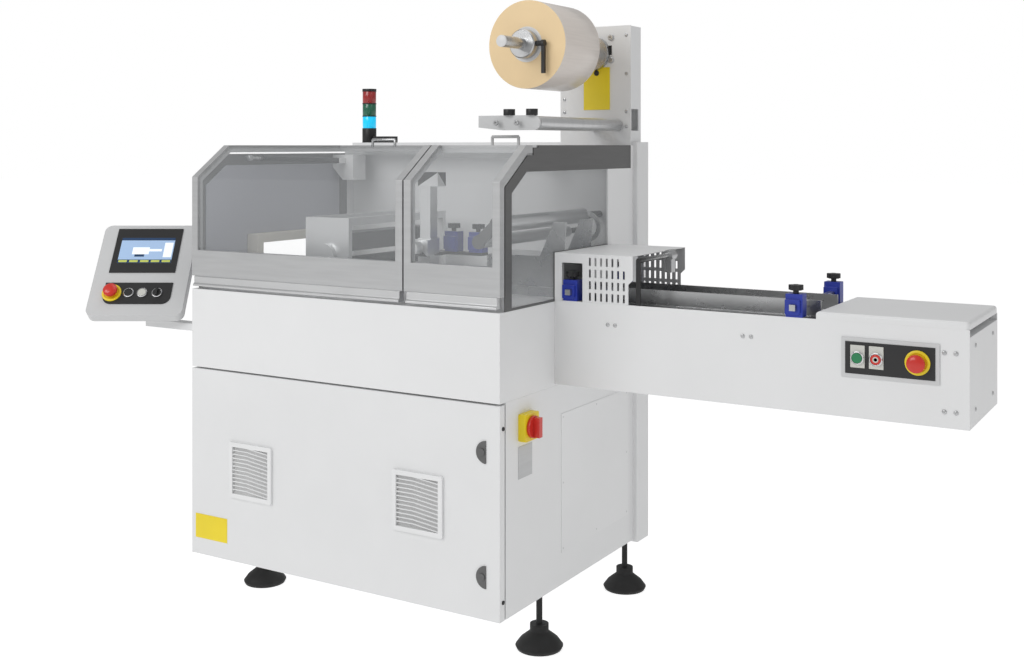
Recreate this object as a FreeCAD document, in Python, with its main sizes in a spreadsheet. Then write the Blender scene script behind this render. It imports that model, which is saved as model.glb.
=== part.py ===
"""Horizontal flow wrapper: sheet-metal cabinet, lifting guards, infeed conveyor, film unwinder.

Machine coordinates used below: x is 0 at the cabinet's right side and grows towards the infeed,
y is 0 at the front face and grows to the rear, z is 0 on the floor. origin_x and origin_y move
them to the part's own frame, whose origin is the middle of its footprint.
"""
import FreeCAD, Part
import math
import os
import re
import Sketcher

SIZES = {
    # Where the part's origin lies in machine coordinates.
    "origin_x": -184.3, "origin_y": 336.2,
    # Cabinet.
    "cab_length": 1000, "cab_depth": 710, "cab_base": 151, "cab_height": 515, "band_height": 214,
    "sheet": 3, "door_depth": 22, "door_gap": 5, "frame_lip": 30,
    # Rear wall and the cover behind it.
    "rear_thick": 14, "cover_lap": 14, "cover_depth": 76, "cover_drop": 5, "cover_rise": 9,
    "cover_corner": 4, "return_right": 146, "return_left": 35, "rail_depth": 46, "rail_thick": 30,
    # Feet.
    "foot_inset": 38, "foot_front": 253, "foot_rear": 748, "pad_radius": 61, "pad_edge": 16,
    "pad_top": 62, "pad_neck": 24, "stem_radius": 8,
    # Door and what it carries.
    "hinge_out": 7, "hinge_back": 1.5, "knuckle_radius": 6, "pin_radius": 3, "pin_clear": 0.08,
    "knuckle_length": 30, "knuckle_gap": 0.5, "hinge_low": 75, "hinge_high": 400, "leaf": 1.5,
    "vent_size": 150, "vent_left_in": 219, "vent_right_in": 235, "vent_up": 249, "vent_rim": 12,
    "vent_proud": 7, "slat_count": 12, "slat_thick": 2.6, "slat_bow": 9,
    "lock_in": 38, "lock_radius": 27, "lock_up": 102, "lock_down": 117, "lock_proud": 3,
    "lock_core": 9,
    # Main switch on the right side.
    "switch_y": 117, "switch_down": 72, "switch_plate": 66, "switch_depth": 20, "switch_corner": 5,
    "knob_radius": 27, "knob_plate": 8, "knob_grip": 16, "knob_width": 15, "knob_clear": 0.5,
    # Guard outline, seen from the end.
    "sill_gap": 8, "sill_height": 28, "rail_height": 71, "fold_height": 309, "guard_top": 396,
    "chamfer_run": 123, "bar_depth": 20, "bar_width": 21, "pane_inset": 6, "pane_thick": 4,
    "split_in": 281, "split_gap": 5, "sill_lip": 5, "sill_inset": 8, "sill_round": 9,
    "lift_back": 60, "lift_drop": 10, "lift_knuckle": 7, "lift_length": 36, "lift_inset": 90,
    "flap_y": 164, "flap_relief": 6, "hinge_strap": 8,
    # Fixed ends of the guarded space.
    "end_thick": 4, "end_post": 55, "end_band": 65, "end_gap": 5, "end_foot": 6, "tint_thick": 3,
    "pane_lap": 8, "exit_y": 212, "exit_width": 413, "exit_height": 138, "exit_bar": 25,
    "exit_depth": 40, "cover_plate": 3, "slot_in": 195, "slot_width": 40, "slot_margin": 112,
    # Grip handles.
    "grip_span": 80, "grip_rise": 22, "grip_rod": 4, "grip_left_y": 400,
    "grip_right_x": -150, "grip_right_y": 271,
    # Gas spring that holds the left guard.
    "spring_in": 42, "spring_back": 126, "spring_rear_down": 48, "spring_front_y": 186,
    "spring_front_down": 36, "tube_radius": 9, "tube_length": 340, "rod_radius": 4, "rod_clear": 0.06,
    "eye_radius": 8, "eye_width": 10, "stud_radius": 4, "stud_length": 12, "lug_thick": 8,
    "bracket_width": 81, "bracket_drop": 79, "bracket_back": 110, "bracket_cut": 40,
    # Conveyor.
    "beam_y": 265, "beam_width": 324, "beam_length": 1004, "beam_height": 213, "beam_step": 4,
    "beam_skin": 3, "bed_drop": 16, "bed_thick": 4, "bed_margin": 12, "chain_slot": 40,
    "chain_width": 26, "chain_height": 14, "link_pitch": 25, "link_length": 21, "link_step": 3,
    "lid_length": 331, "lid_thick": 17, "lid_round": 7, "lid_corner": 10,
    # Infeed tunnel guard.
    "tunnel_length": 218, "tunnel_height": 120, "tunnel_sheet": 2, "window_x": 21,
    "window_width": 58, "window_height": 96, "slit_x": 100, "slit_pitch": 15.6, "slit_width": 5,
    "slit_height": 20, "slit_rows_z": 14, "slit_row_pitch": 29,
    "nose_width": 12, "nose_drop": 62,
    # Guide rails and their clamps.
    "rail_left_x": 12, "rail_end": 18, "rail_in": 95, "rail_back_in": 89,
    "rail_strip": 6, "rail_tall": 36, "rail_lift": 6, "clamp_x": 44, "clamp_end": 51,
    "clamp_length": 40, "clamp_width": 30, "clamp_height": 53, "bar_side": 14,
    "clamp_knob": 17, "clamp_knob_tall": 12, "clamp_neck": 7, "clamp_neck_tall": 8,
    "clamp_step": 5,
    # Photo eye on its rod over the conveyor.
    "eye_rod_radius": 6, "eye_rod_length": 180, "eye_head_radius": 14, "eye_head_length": 34,
    "eye_body_width": 18, "eye_body_tall": 44,
    # Control plate on the conveyor.
    "plate_end": 273, "plate_width": 212, "plate_down": 123, "plate_height": 89, "plate_thick": 3,
    "button_down": 78, "start_in": 36, "halt_in": 76, "stop_in": 168, "button_radius": 14,
    "button_proud": 10, "stop_collar": 25, "collar_thick": 4, "stop_neck": 13, "stop_neck_tall": 10,
    "stop_head": 20, "stop_head_tall": 14, "stop_round": 5,
    # Film unwinder.
    "column_width": 228, "column_top": 1618, "column_depth": 84, "column_sheet": 4,
    "column_inset": 8, "window_up": 42, "window_tall": 62, "window_deep": 50,
    "reel_down": 78, "reel_radius": 116, "reel_front": 319, "reel_width": 194,
    "core_radius": 42, "spindle_radius": 15, "spindle_front": 193, "hub_radius": 38,
    "hub_front": 291, "hub_round": 3, "flange_radius": 48, "flange_thick": 18, "shaft_clear": 0.08,
    "shaft_seat": 12, "lever_x": 24, "lever_boss": 9, "lever_out": 16, "lever_arm": 78,
    "lever_thick": 9, "lever_step": 26,
    "idler_up": 57, "idler_right_x": -40, "idler_left_x": -113, "idler_radius": 17,
    "idler_front": 233, "idler_shaft": 6, "idler_clear": 6, "link_thick": 7, "link_right": 19,
    "link_left_x": -204, "link_left_tall": 23, "link_knob": 15, "link_knob_tall": 16,
    # Signal tower.
    "tower_in": 28, "tower_radius": 23, "tower_base": 47, "lens_tall": 38, "ring_tall": 3,
    "cap_tall": 9, "lens_shy": 1, "box_gap": 18, "box_length": 62, "box_width": 50, "box_tall": 20,
    # Operator panel on its arm.
    "panel_turn": 31, "panel_tilt": 38.5, "panel_out": 222, "panel_y": 41, "panel_up": 91,
    "panel_width": 270, "panel_height": 305, "panel_screen_up": 216, "panel_thick": 30,
    "panel_corner": 22, "hump_width": 150, "hump_height": 130, "hump_depth": 28,
    "hump_up": 126, "bezel_width": 188, "bezel_height": 150, "bezel_thick": 3, "inset_width": 190,
    "inset_height": 69, "inset_up": 72, "inset_corner": 24, "pivot_out": 195, "pivot_y": 50,
    "arm_y": 30, "arm_width": 40, "arm_down": 124, "arm_tall": 20, "arm_plate": 6,
    "post_radius": 15, "post_step": 8, "post_gap": 0.5,
    "press_radius": 13, "press_proud": 9, "press_left": -72, "press_second": -24,
    "press_third": 14, "press_fourth": 56,
    # Inside the guards.
    "table_y": 340, "table_width": 170, "table_thick": 24, "table_belt": 4,
    "jaw_in": 280, "jaw_width": 150, "jaw_near_y": 150, "jaw_far_y": 600, "jaw_plate": 15,
    "jaw_top": 199, "jaw_beam": 20, "boss_radius": 33, "boss_thick": 14, "boss_up": 95,
    "jaw_block": 60, "jaw_block_tall": 50, "jaw_block_up": 104, "jaw_roll": 20, "jaw_roll_up": 66,
    "post_x": -335, "post_y": 140, "post_side": 40, "post_lower": 156, "post_upper": 290,
    "post_slim": 32, "post_cap": 36, "cap_side": 62, "dial_radius": 20, "dial_depth": 26,
    "dial_up": 133, "gearbox": 52,
    "roll_y": 150, "roll_length": 460, "roll_top_x": -100, "roll_top_up": 198, "roll_top": 20,
    "roll_low_x": -152, "roll_low_up": 152, "roll_low": 16, "roll_link": 8, "roll_link_edge": 14,
    "former_in": 256, "former_length": 236, "former_width": 150, "former_tall": 80,
    "former_sheet": 2, "wing_rise": 92, "wing_reach": 60, "quadrant_x": -58, "quadrant_up": 172,
    "quadrant_outer": 42, "quadrant_inner": 30,
    "inner_clamp_y": 215, "inner_clamp_up": 118, "inner_left_x": -283, "inner_pitch": 76,
    "shelf": 8,
}

# Places and sizes that follow from the ones above.
PLACES = {
    "left": "-cab_length", "band": "cab_base + cab_height", "deck": "band + band_height",
    "top": "deck + guard_top", "rear": "cab_depth + rear_thick",
    "beam_top": "deck + beam_step", "door_tall": "cab_height - door_gap",
    "vent_left_x": "left + vent_left_in", "vent_right_x": "-vent_right_in",
    "vent_z": "cab_base + vent_up", "lock_x": "-lock_in", "lock_low": "cab_base + lock_up",
    "lock_high": "band - lock_down", "switch_z": "band - switch_down",
    "lift_y": "cab_depth - lift_back", "bracket_y": "cab_depth - bracket_back",
    "spring_x": "left + spring_in", "spring_rear_y": "cab_depth - spring_back",
    "spring_rear_z": "top - spring_rear_down", "spring_front_z": "top - spring_front_down",
    "spring_length": "sqrt(pow(spring_rear_y - spring_front_y; 2)"
    " + pow(spring_rear_z - spring_front_z; 2))",
    "split_x": "-split_in", "grip_left_x": "(left + split_x) / 2", "slot_x": "-slot_in",
    "open_run": "beam_length - lid_length", "rail_right_x": "open_run - rail_end",
    "clamp_pitch": "open_run - clamp_end - clamp_x", "rail_front_y": "beam_y + rail_in",
    "rail_back_y": "beam_y + beam_width - rail_strip - rail_back_in",
    "plate_x": "beam_length - plate_end", "plate_z": "beam_top - plate_down",
    "button_z": "beam_top - button_down", "start_x": "plate_x + start_in",
    "halt_x": "plate_x + halt_in", "stop_x": "plate_x + stop_in",
    "reel_x": "-column_width / 2", "reel_z": "column_top - reel_down", "idler_z": "top + idler_up",
    "window_low": "top + window_up", "tower_x": "left + tower_in",
    "panel_x": "left - panel_out", "panel_z": "deck + panel_up", "pivot_x": "left - pivot_out",
    "arm_z": "deck - arm_down", "jaw_x": "left + jaw_in", "former_x": "-former_in",
}

doc = FreeCAD.newDocument("flow_wrapper")
sheet = doc.addObject("Spreadsheet::Sheet", "sizes")
nodes = []
WORD = re.compile(r"[a-z][a-z_0-9]*")


def fill_sheet():
    """Each driving dimension becomes a cell with its name as alias."""
    for row, (name, size) in enumerate(SIZES.items(), 1):
        sheet.set(f"A{row}", name)
        sheet.set(f"B{row}", str(size))
        sheet.setAlias(f"B{row}", name)
    doc.recompute()


def link(text):
    """The same formula with every size name read from the sheet."""
    def read(found):
        name = found[0]
        if name in PLACES:
            return f"({link(PLACES[name])})"
        return f"sizes.{name}" if name in SIZES else name
    return WORD.sub(read, str(text))


def value(text):
    """What a formula of size names comes to."""
    return float(sheet.evalExpression(link(text)))


def move(item, x, y, z, turn=None):
    """Seats an item at machine coordinates, given as formulas."""
    if turn is not None:
        item.Placement = FreeCAD.Placement(FreeCAD.Vector(), turn)
    item.setExpression("Placement.Base.x", link(f"{x} - origin_x"))
    item.setExpression("Placement.Base.y", link(f"{y} - origin_y"))
    item.setExpression("Placement.Base.z", link(z))
    return item


def node(item, label):
    """Names a finished sub-part; its label is also its file's name."""
    item.Label = label
    nodes.append(item)
    return item


# ---------------------------------------------------------------- shape helpers
AXES = {"x": FreeCAD.Vector(1, 0, 0), "y": FreeCAD.Vector(0, 1, 0), "z": FreeCAD.Vector(0, 0, 1)}


def box(length, width, height, x, y, z):
    """A block with its low corner at x, y, z."""
    item = doc.addObject("Part::Box", "block")
    for side, size in (("Length", length), ("Width", width), ("Height", height)):
        item.setExpression(side, link(size))
    return move(item, x, y, z)


def rod(radius, length, x, y, z, along="z"):
    """A round bar that starts at x, y, z and runs along a positive axis."""
    item = doc.addObject("Part::Cylinder", "rod")
    item.setExpression("Radius", link(radius))
    item.setExpression("Height", link(length))
    return move(item, x, y, z, FreeCAD.Rotation(AXES["z"], AXES[along]))


def fuse(*items):
    """One solid out of several that meet."""
    item = doc.addObject("Part::MultiFuse", "fusion")
    item.Shapes = list(items)
    return item


def cut(base, *tools):
    """The base with each tool taken away."""
    for tool in tools:
        item = doc.addObject("Part::Cut", "cut")
        item.Base = base
        item.Tool = tool
        base = item
    return base


def group(*items):
    """Several separate solids in one sub-part."""
    item = doc.addObject("Part::Compound", "group")
    item.Links = list(items)
    return item


def new_body(name):
    """An empty body that sketches and features go into."""
    return doc.addObject("PartDesign::Body", name)


def origin_plane(body, role):
    """One of the body's own three base planes."""
    return next(part for part in body.Origin.OriginFeatures if part.Role == role)


def sketch_on(body, role, raised="0"):
    """An empty sketch on a base plane, raised above it by a formula."""
    sketch = body.newObject("Sketcher::SketchObject", "sketch")
    sketch.AttachmentSupport = [(origin_plane(body, role), "")]
    sketch.MapMode = "FlatFace"
    sketch.setExpression("AttachmentOffset.Base.z", link(raised))
    return sketch


def pin_point(sketch, shape, spot, across, up):
    """Ties one point of a sketch to two formulas."""
    for kind, text in (("DistanceX", across), ("DistanceY", up)):
        row = sketch.addConstraint(Sketcher.Constraint(kind, -1, 1, shape, spot, value(text)))
        sketch.setExpression(f"Constraints[{row}]", link(text))


def draw_outline(sketch, points):
    """A closed outline of straight runs through points given as pairs of formulas."""
    spots = [FreeCAD.Vector(value(across), value(up), 0) for across, up in points]
    first = sketch.GeometryCount
    for here, there in zip(spots, spots[1:] + spots[:1]):
        sketch.addGeometry(Part.LineSegment(here, there), False)
    for number in range(len(spots)):
        following = first + (number + 1) % len(spots)
        sketch.addConstraint(Sketcher.Constraint("Coincident", first + number, 2, following, 1))
    for number, (across, up) in enumerate(points):
        pin_point(sketch, first + number, 1, across, up)


def draw_circle(sketch, across, up, radius):
    """A circle with its centre and radius tied to formulas."""
    centre = FreeCAD.Vector(value(across), value(up), 0)
    shape = sketch.addGeometry(Part.Circle(centre, AXES["z"], value(radius)), False)
    pin_point(sketch, shape, 3, across, up)
    row = sketch.addConstraint(Sketcher.Constraint("Radius", shape, value(radius)))
    sketch.setExpression(f"Constraints[{row}]", link(radius))


def pad(body, sketch, depth, back=False, both=False):
    """Raises a sketch into a solid."""
    item = body.newObject("PartDesign::Pad", "pad")
    item.Profile = sketch
    item.Reversed = back
    item.Midplane = both
    item.setExpression("Length", link(depth))
    doc.recompute()
    return item


def pocket(body, sketch, depth, back=False):
    """Cuts a sketch into the solid, and checks that something was removed."""
    before = body.Shape.Volume
    item = body.newObject("PartDesign::Pocket", "pocket")
    item.Profile = sketch
    item.Reversed = back
    item.setExpression("Length", link(depth))
    doc.recompute()
    if body.Shape.Volume > before - 1:
        raise RuntimeError(f"{body.Name}: a pocket cuts nothing")
    return item


def revolve(body, sketch):
    """Turns a sketch of the XZ plane about the body's z axis."""
    item = body.newObject("PartDesign::Revolution", "turned")
    item.Profile = sketch
    item.ReferenceAxis = (sketch, ["V_Axis"])
    item.Angle = 360
    doc.recompute()
    return item


def round_edges(body, radius, picks):
    """Rounds the edges that the test picks."""
    base = body.Tip
    names = [f"Edge{n}" for n, edge in enumerate(body.Shape.Edges, 1) if picks(edge)]
    item = body.newObject("PartDesign::Fillet", "rounding")
    item.Base = (base, names)
    item.setExpression("Radius", link(radius))
    doc.recompute()
    return item


def runs_along(edge, axis):
    """True for a straight edge parallel to an axis."""
    if edge.Curve.TypeId != "Part::GeomLine":
        return False
    return abs(abs(edge.Curve.Direction.dot(AXES[axis])) - 1) < 1e-6


def slab(name, role, points, depth, x, y, z, back=False):
    """A body of one padded outline, seated at machine coordinates."""
    body = new_body(name)
    sketch = sketch_on(body, role)
    draw_outline(sketch, points)
    pad(body, sketch, depth, back)
    return move(body, x, y, z)


# ---------------------------------------------------------------- formulas that several parts share
HALF_LOW = "tan(atan(chamfer_run / (guard_top - fold_height)) / 2)"
HALF_TOP = "tan(atan((guard_top - fold_height) / chamfer_run) / 2)"
SLOPE = "chamfer_run / (guard_top - fold_height)"


def guard_line(inset, foot, reach):
    """The guard's end outline moved inwards: up the front, over the chamfer, back along the top.

    Coordinates are y from the front face and z from the deck.
    """
    return [
        (inset, foot),
        (inset, f"fold_height - ({inset}) * {HALF_LOW}"),
        (f"chamfer_run + ({inset}) * {HALF_TOP}", f"guard_top - ({inset})"),
        (reach, f"guard_top - ({inset})"),
    ]


def guard_strip(name, outer, inner, foot, reach, length, x):
    """A bent strip between two insets of the guard outline, as long as asked along x."""
    points = guard_line(outer, foot, reach) + guard_line(inner, foot, reach)[::-1]
    return slab(name, "YZ_Plane", points, length, x, "0", "deck")


# ---------------------------------------------------------------- cabinet
def cabinet():
    """Sheets round the hollow that the door closes, and the solid band above it."""
    inner = "cab_length - 2 * sheet"
    front = "door_depth + door_gap"
    depth = f"cab_depth - ({front})"
    node(box(inner, f"{depth} - sheet", "sheet", "left + sheet", f"{front} + sheet",
             "cab_base"), "cabinet_floor")
    left = box("sheet", depth, "cab_height", "left", front, "cab_base")
    hinges = [door_hinge(low, fixed=True) for low in HINGE_SPOTS]
    node(fuse(left, *hinges), "cabinet_left_wall")
    node(box("sheet", depth, "cab_height", "-sheet", front, "cab_base"), "cabinet_right_wall")
    plate = box(inner, "sheet", "cab_height", "left + sheet", front, "cab_base")
    hole = box(f"{inner} - 2 * frame_lip", "sheet", "cab_height - 2 * frame_lip",
               "left + sheet + frame_lip", front, "cab_base + frame_lip")
    node(cut(plate, hole), "door_frame")
    node(box("cab_length", "cab_depth", "band_height", "left", "0", "band"), "upper_housing")


def rear():
    """Rear wall with its side returns and hinge rail, and the tall cover behind it."""
    height = "deck + guard_top - cab_base"
    back = box("cab_length", "rear_thick", height, "left", "cab_depth", "cab_base")
    tall = "guard_top - end_band"
    right = box("end_thick", "return_right", tall, "-end_thick", "cab_depth - return_right", "deck")
    left = box("end_thick", "return_left", "guard_top - rail_thick - end_gap", "left",
               "cab_depth - return_left", "deck")
    rail = box("cab_length + split_x - split_gap / 2 - end_thick", "rail_depth", "rail_thick",
               "left + end_thick", "cab_depth - rail_depth", "top - rail_thick")
    knuckles = [lift_knuckle(spot, fixed=True) for spot in LIFT_SPOTS]
    node(fuse(back, right, left, rail, *knuckles), "rear_wall")
    body = new_body("rear_cover_body")
    sketch = sketch_on(body, "XY_Plane")
    wide = "cab_length + 2 * cover_lap"
    draw_outline(sketch, [("0", "0"), (wide, "0"), (wide, "cover_depth"), ("0", "cover_depth")])
    pad(body, sketch, f"{height} + cover_drop + cover_rise")
    round_edges(body, "cover_corner", lambda edge: runs_along(edge, "z"))
    node(move(body, "left - cover_lap", "rear", "cab_base - cover_drop"), "rear_cover")


def feet():
    """Four levelling feet: a flared round pad turned in one piece with its threaded stem."""
    items = []
    for x in ("left + foot_inset", "-foot_inset"):
        for y, top in (("foot_front", "cab_base"), ("foot_rear", "cab_base - cover_drop")):
            body = new_body("foot")
            sketch = sketch_on(body, "XZ_Plane")
            draw_outline(sketch, [
                ("0", "0"), ("pad_radius - 4", "0"), ("pad_radius", "pad_edge / 2"),
                ("pad_radius * 0.8", "pad_edge * 1.5"), ("pad_neck", "pad_top * 0.7"),
                ("pad_neck", "pad_top"),
                ("stem_radius", "pad_top"), ("stem_radius", top), ("0", top)])
            revolve(body, sketch)
            items.append(move(body, x, y, "0"))
    node(group(*items), "levelling_feet")


# ---------------------------------------------------------------- door and main switch
def door_hinge(low, fixed):
    """Half of one door hinge: a barrel on a leaf. The fixed half also carries the pin."""
    base = low if fixed else f"{low} + knuckle_length + knuckle_gap"
    x = "left - hinge_out"
    y = "door_depth + hinge_back"
    barrel = rod("knuckle_radius", "knuckle_length", x, y, base)
    leaf_y = y if fixed else "sheet"
    depth = "frame_lip" if fixed else f"{y} - sheet"
    leaf = box("leaf + 1", depth, "knuckle_length", "left - leaf - 1", leaf_y, base)
    if fixed:
        pin = rod("pin_radius", "2 * knuckle_length", x, y, base)
        return fuse(barrel, leaf, pin)
    bore = rod("pin_radius + pin_clear", "knuckle_length", x, y, base)
    return cut(fuse(barrel, leaf), bore)


HINGE_SPOTS = ("cab_base + hinge_low", "cab_base + hinge_high")


def door():
    """Front door: a folded pan, hollow at the back, with two grille holes and two lock holes."""
    body = new_body("door_body")
    sketch = sketch_on(body, "XZ_Plane")
    draw_outline(sketch, [("0", "0"), ("cab_length", "0"), ("cab_length", "door_tall"),
                          ("0", "door_tall")])
    pad(body, sketch, "door_depth", back=True)
    inner = sketch_on(body, "XZ_Plane", "-door_depth")
    draw_outline(inner, [("sheet", "sheet"), ("cab_length - sheet", "sheet"),
                         ("cab_length - sheet", "door_tall - sheet"),
                         ("sheet", "door_tall - sheet")])
    pocket(body, inner, "door_depth - sheet", back=True)
    holes = sketch_on(body, "XZ_Plane")
    half = "vent_size / 2 - vent_rim"
    for centre in ("vent_left_x", "vent_right_x"):
        middle = f"cab_length + {centre}"
        low, high = f"vent_z - cab_base - ({half})", f"vent_z - cab_base + {half}"
        draw_outline(holes, [(f"{middle} - ({half})", low), (f"{middle} + {half}", low),
                             (f"{middle} + {half}", high), (f"{middle} - ({half})", high)])
    pocket(body, holes, "sheet")
    move(body, "left", "0", "cab_base")
    leaves = [door_hinge(low, fixed=False) for low in HINGE_SPOTS]
    node(fuse(body, *leaves), "cabinet_door")
    node(group(vent("vent_left_x"), vent("vent_right_x")), "door_vents")
    node(group(lock("lock_low"), lock("lock_high")), "door_locks")


def vent(centre):
    """A louvred grille: rimmed frame with bowed slats that stand one above another."""
    body = new_body("vent")
    half = "vent_size / 2"
    outer = sketch_on(body, "XZ_Plane")
    draw_outline(outer, [(f"-{half}", f"-{half}"), (half, f"-{half}"), (half, half),
                         (f"-{half}", half)])
    pad(body, outer, "vent_proud")
    round_edges(body, "vent_rim / 3", lambda edge: runs_along(edge, "y"))
    hole = sketch_on(body, "XZ_Plane")
    open_half = f"({half} - vent_rim)"
    draw_outline(hole, [(f"-{open_half}", f"-{open_half}"), (open_half, f"-{open_half}"),
                        (open_half, open_half), (f"-{open_half}", open_half)])
    pocket(body, hole, "vent_proud", back=True)
    slats = sketch_on(body, "XZ_Plane")
    pitch = "(vent_size - 2 * vent_rim) / slat_count"
    for count in range(int(value("slat_count"))):
        draw_slat(slats, open_half, f"-{open_half} + {pitch} * ({count} + 0.5)")
    pad(body, slats, "vent_proud - 2")
    return move(body, centre, "0", "vent_z")


def draw_slat(sketch, reach, low):
    """One slat seen from the front: level at both sides, with a step down across the middle."""
    high = f"{low} + slat_bow / 2"
    bottom = f"{low} - slat_bow / 2"
    third = f"{reach} / 5"
    draw_outline(sketch, [
        (f"-{reach}", high), (f"-{third}", high), (reach, bottom),
        (reach, f"{bottom} + slat_thick"), (f"-{third}", f"{high} + slat_thick"),
        (f"-{reach}", f"{high} + slat_thick")])


def lock(height):
    """A quarter-turn lock: half-round escutcheon with the key socket standing in it."""
    x = "lock_x"
    disc = rod("lock_radius", "lock_proud", x, "-lock_proud", height, "y")
    side = box("lock_radius", "lock_proud", "2 * lock_radius", x, "-lock_proud",
               f"{height} - lock_radius")
    core = rod("lock_core", "lock_proud", f"{x} - lock_core - 2", "-2 * lock_proud", height, "y")
    return fuse(cut(disc, side), core)


def main_switch():
    """Square yellow plate on the right side, and the turning grip that stands on it."""
    body = new_body("switch_plate_body")
    sketch = sketch_on(body, "YZ_Plane")
    half = "switch_plate / 2"
    draw_outline(sketch, [(f"-{half}", f"-{half}"), (half, f"-{half}"), (half, half),
                          (f"-{half}", half)])
    pad(body, sketch, "switch_depth")
    round_edges(body, "switch_corner", lambda edge: runs_along(edge, "x"))
    node(move(body, "0", "switch_y", "switch_z"), "switch_base")
    start = "switch_depth + knob_clear"
    disc = rod("knob_radius", "knob_plate", start, "switch_y", "switch_z", "x")
    grip = box("knob_grip", "knob_width", "2 * knob_radius - 6", f"{start} + knob_plate",
               "switch_y - knob_width / 2", "switch_z - knob_radius + 3")
    node(fuse(disc, grip), "switch_grip")


# ---------------------------------------------------------------- guards
LIFT_SPOTS = ("left + lift_inset", "split_x - lift_inset - 2 * lift_length")
FLAP_SPOTS = ("split_x + lift_inset / 2", "-lift_inset / 2 - 2 * lift_length")


def barrel_with_strap(x, y, strap_y, strap_depth, fixed):
    """Half of a guard hinge along x: barrel, strap to its carrier, and pin or bore."""
    begin = x if fixed else f"{x} + lift_length + knuckle_gap"
    z = "top - lift_drop"
    barrel = rod("lift_knuckle", "lift_length", begin, y, z, "x")
    strap = box("lift_length", strap_depth, "hinge_strap", begin, strap_y, f"{z} - hinge_strap / 2")
    if fixed:
        return fuse(barrel, strap, rod("pin_radius", "2 * lift_length", x, y, z, "x"))
    bore = rod("pin_radius + pin_clear", "lift_length", begin, y, z, "x")
    return cut(fuse(barrel, strap), bore)


def lift_knuckle(x, fixed):
    """Hinge half of the left guard, on the rear rail or on the guard's last bar."""
    if fixed:
        return barrel_with_strap(x, "lift_y", "lift_y", "cab_depth - rail_depth - lift_y", True)
    return barrel_with_strap(x, "lift_y", "lift_y - lift_drop", "lift_drop", False)


def flap_knuckle(x, fixed):
    """Hinge half of the right guard, on the top cover or on the guard's top bar."""
    if fixed:
        return barrel_with_strap(x, "flap_y", "flap_y", "lift_drop + 2", True)
    return barrel_with_strap(x, "flap_y", "flap_y - lift_drop", "lift_drop", False)


def guard(side, x, length, reach, knuckles):
    """One guard: side bars and rails in one frame, the bent clear pane, and the grip sill."""
    bars = [guard_strip("bar", "0", "bar_depth", "sill_gap + sill_height", reach, "bar_width", at)
            for at in (x, f"{x} + {length} - bar_width")]
    inner_x = f"{x} + bar_width"
    inner = f"{length} - 2 * bar_width"
    low = "deck + sill_gap + sill_height"
    rail = box(inner, "bar_depth", "rail_height", inner_x, "0", low)
    last = box(inner, "bar_depth", "bar_depth", inner_x, f"{reach} - bar_depth",
               "top - bar_depth")
    frame = fuse(*bars, rail, last, *knuckles)
    node(frame, f"guard_{side}_frame")
    foot = "sill_gap + sill_height + rail_height"
    node(guard_strip("pane", "pane_inset", "pane_inset + pane_thick", foot,
                     f"{reach} - bar_depth", inner, inner_x), f"guard_{side}_pane")
    node(sill(f"{x} + sill_inset", f"{length} - 2 * sill_inset"), f"guard_{side}_sill")


def sill(x, length):
    """The rounded pull profile under a guard's rail, with a lip along its lower edge."""
    body = new_body("sill")
    sketch = sketch_on(body, "YZ_Plane")
    high = "sill_height"
    draw_outline(sketch, [
        ("-sill_lip", "0"), ("bar_depth", "0"), ("bar_depth", high), ("2", high),
        ("0", f"{high} - 3"), ("0", "9"), ("-sill_lip", "5")])
    pad(body, sketch, length)
    return move(body, x, "0", "deck + sill_gap")


def grip(x, y, base):
    """A bow handle: two legs and the bar between them."""
    legs = [rod("grip_rod", "grip_rise", f"{x} + ({shift})", y, base)
            for shift in ("-grip_span / 2", "grip_span / 2")]
    bar = rod("grip_rod", "grip_span", f"{x} - grip_span / 2", y, f"{base} + grip_rise", "x")
    return fuse(*legs, bar)


def guards():
    """Left guard that lifts with its top, and right guard that ends at the chamfer."""
    left_length = "cab_length + split_x - split_gap / 2"
    guard("left", "left", left_length, "lift_y - lift_drop",
          [lift_knuckle(spot, fixed=False) for spot in LIFT_SPOTS])
    right_x = "split_x + split_gap / 2"
    guard("right", right_x, f"-({right_x})", "flap_y - lift_drop",
          [flap_knuckle(spot, fixed=False) for spot in FLAP_SPOTS])
    node(grip("grip_left_x", "grip_left_y", "top - pane_inset"), "guard_left_grip")
    cover_y = "flap_y + lift_drop + 2"
    plate = box(f"-({right_x}) - end_thick", f"cab_depth - ({cover_y})", "cover_plate", right_x, cover_y,
                "top - cover_plate")
    slot = box("slot_width", f"cab_depth - ({cover_y}) - 2 * slot_margin", "cover_plate",
               "slot_x - slot_width / 2", f"{cover_y} + slot_margin", "top - cover_plate")
    beam = box(f"-({right_x}) - end_thick", "rail_thick", "rail_thick", right_x, cover_y,
               "top - cover_plate - rail_thick")
    knuckles = [flap_knuckle(spot, fixed=True) for spot in FLAP_SPOTS]
    handle = grip("grip_right_x", "grip_right_y", "top")
    node(fuse(cut(plate, slot), beam, handle, *knuckles), "top_cover")


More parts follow.
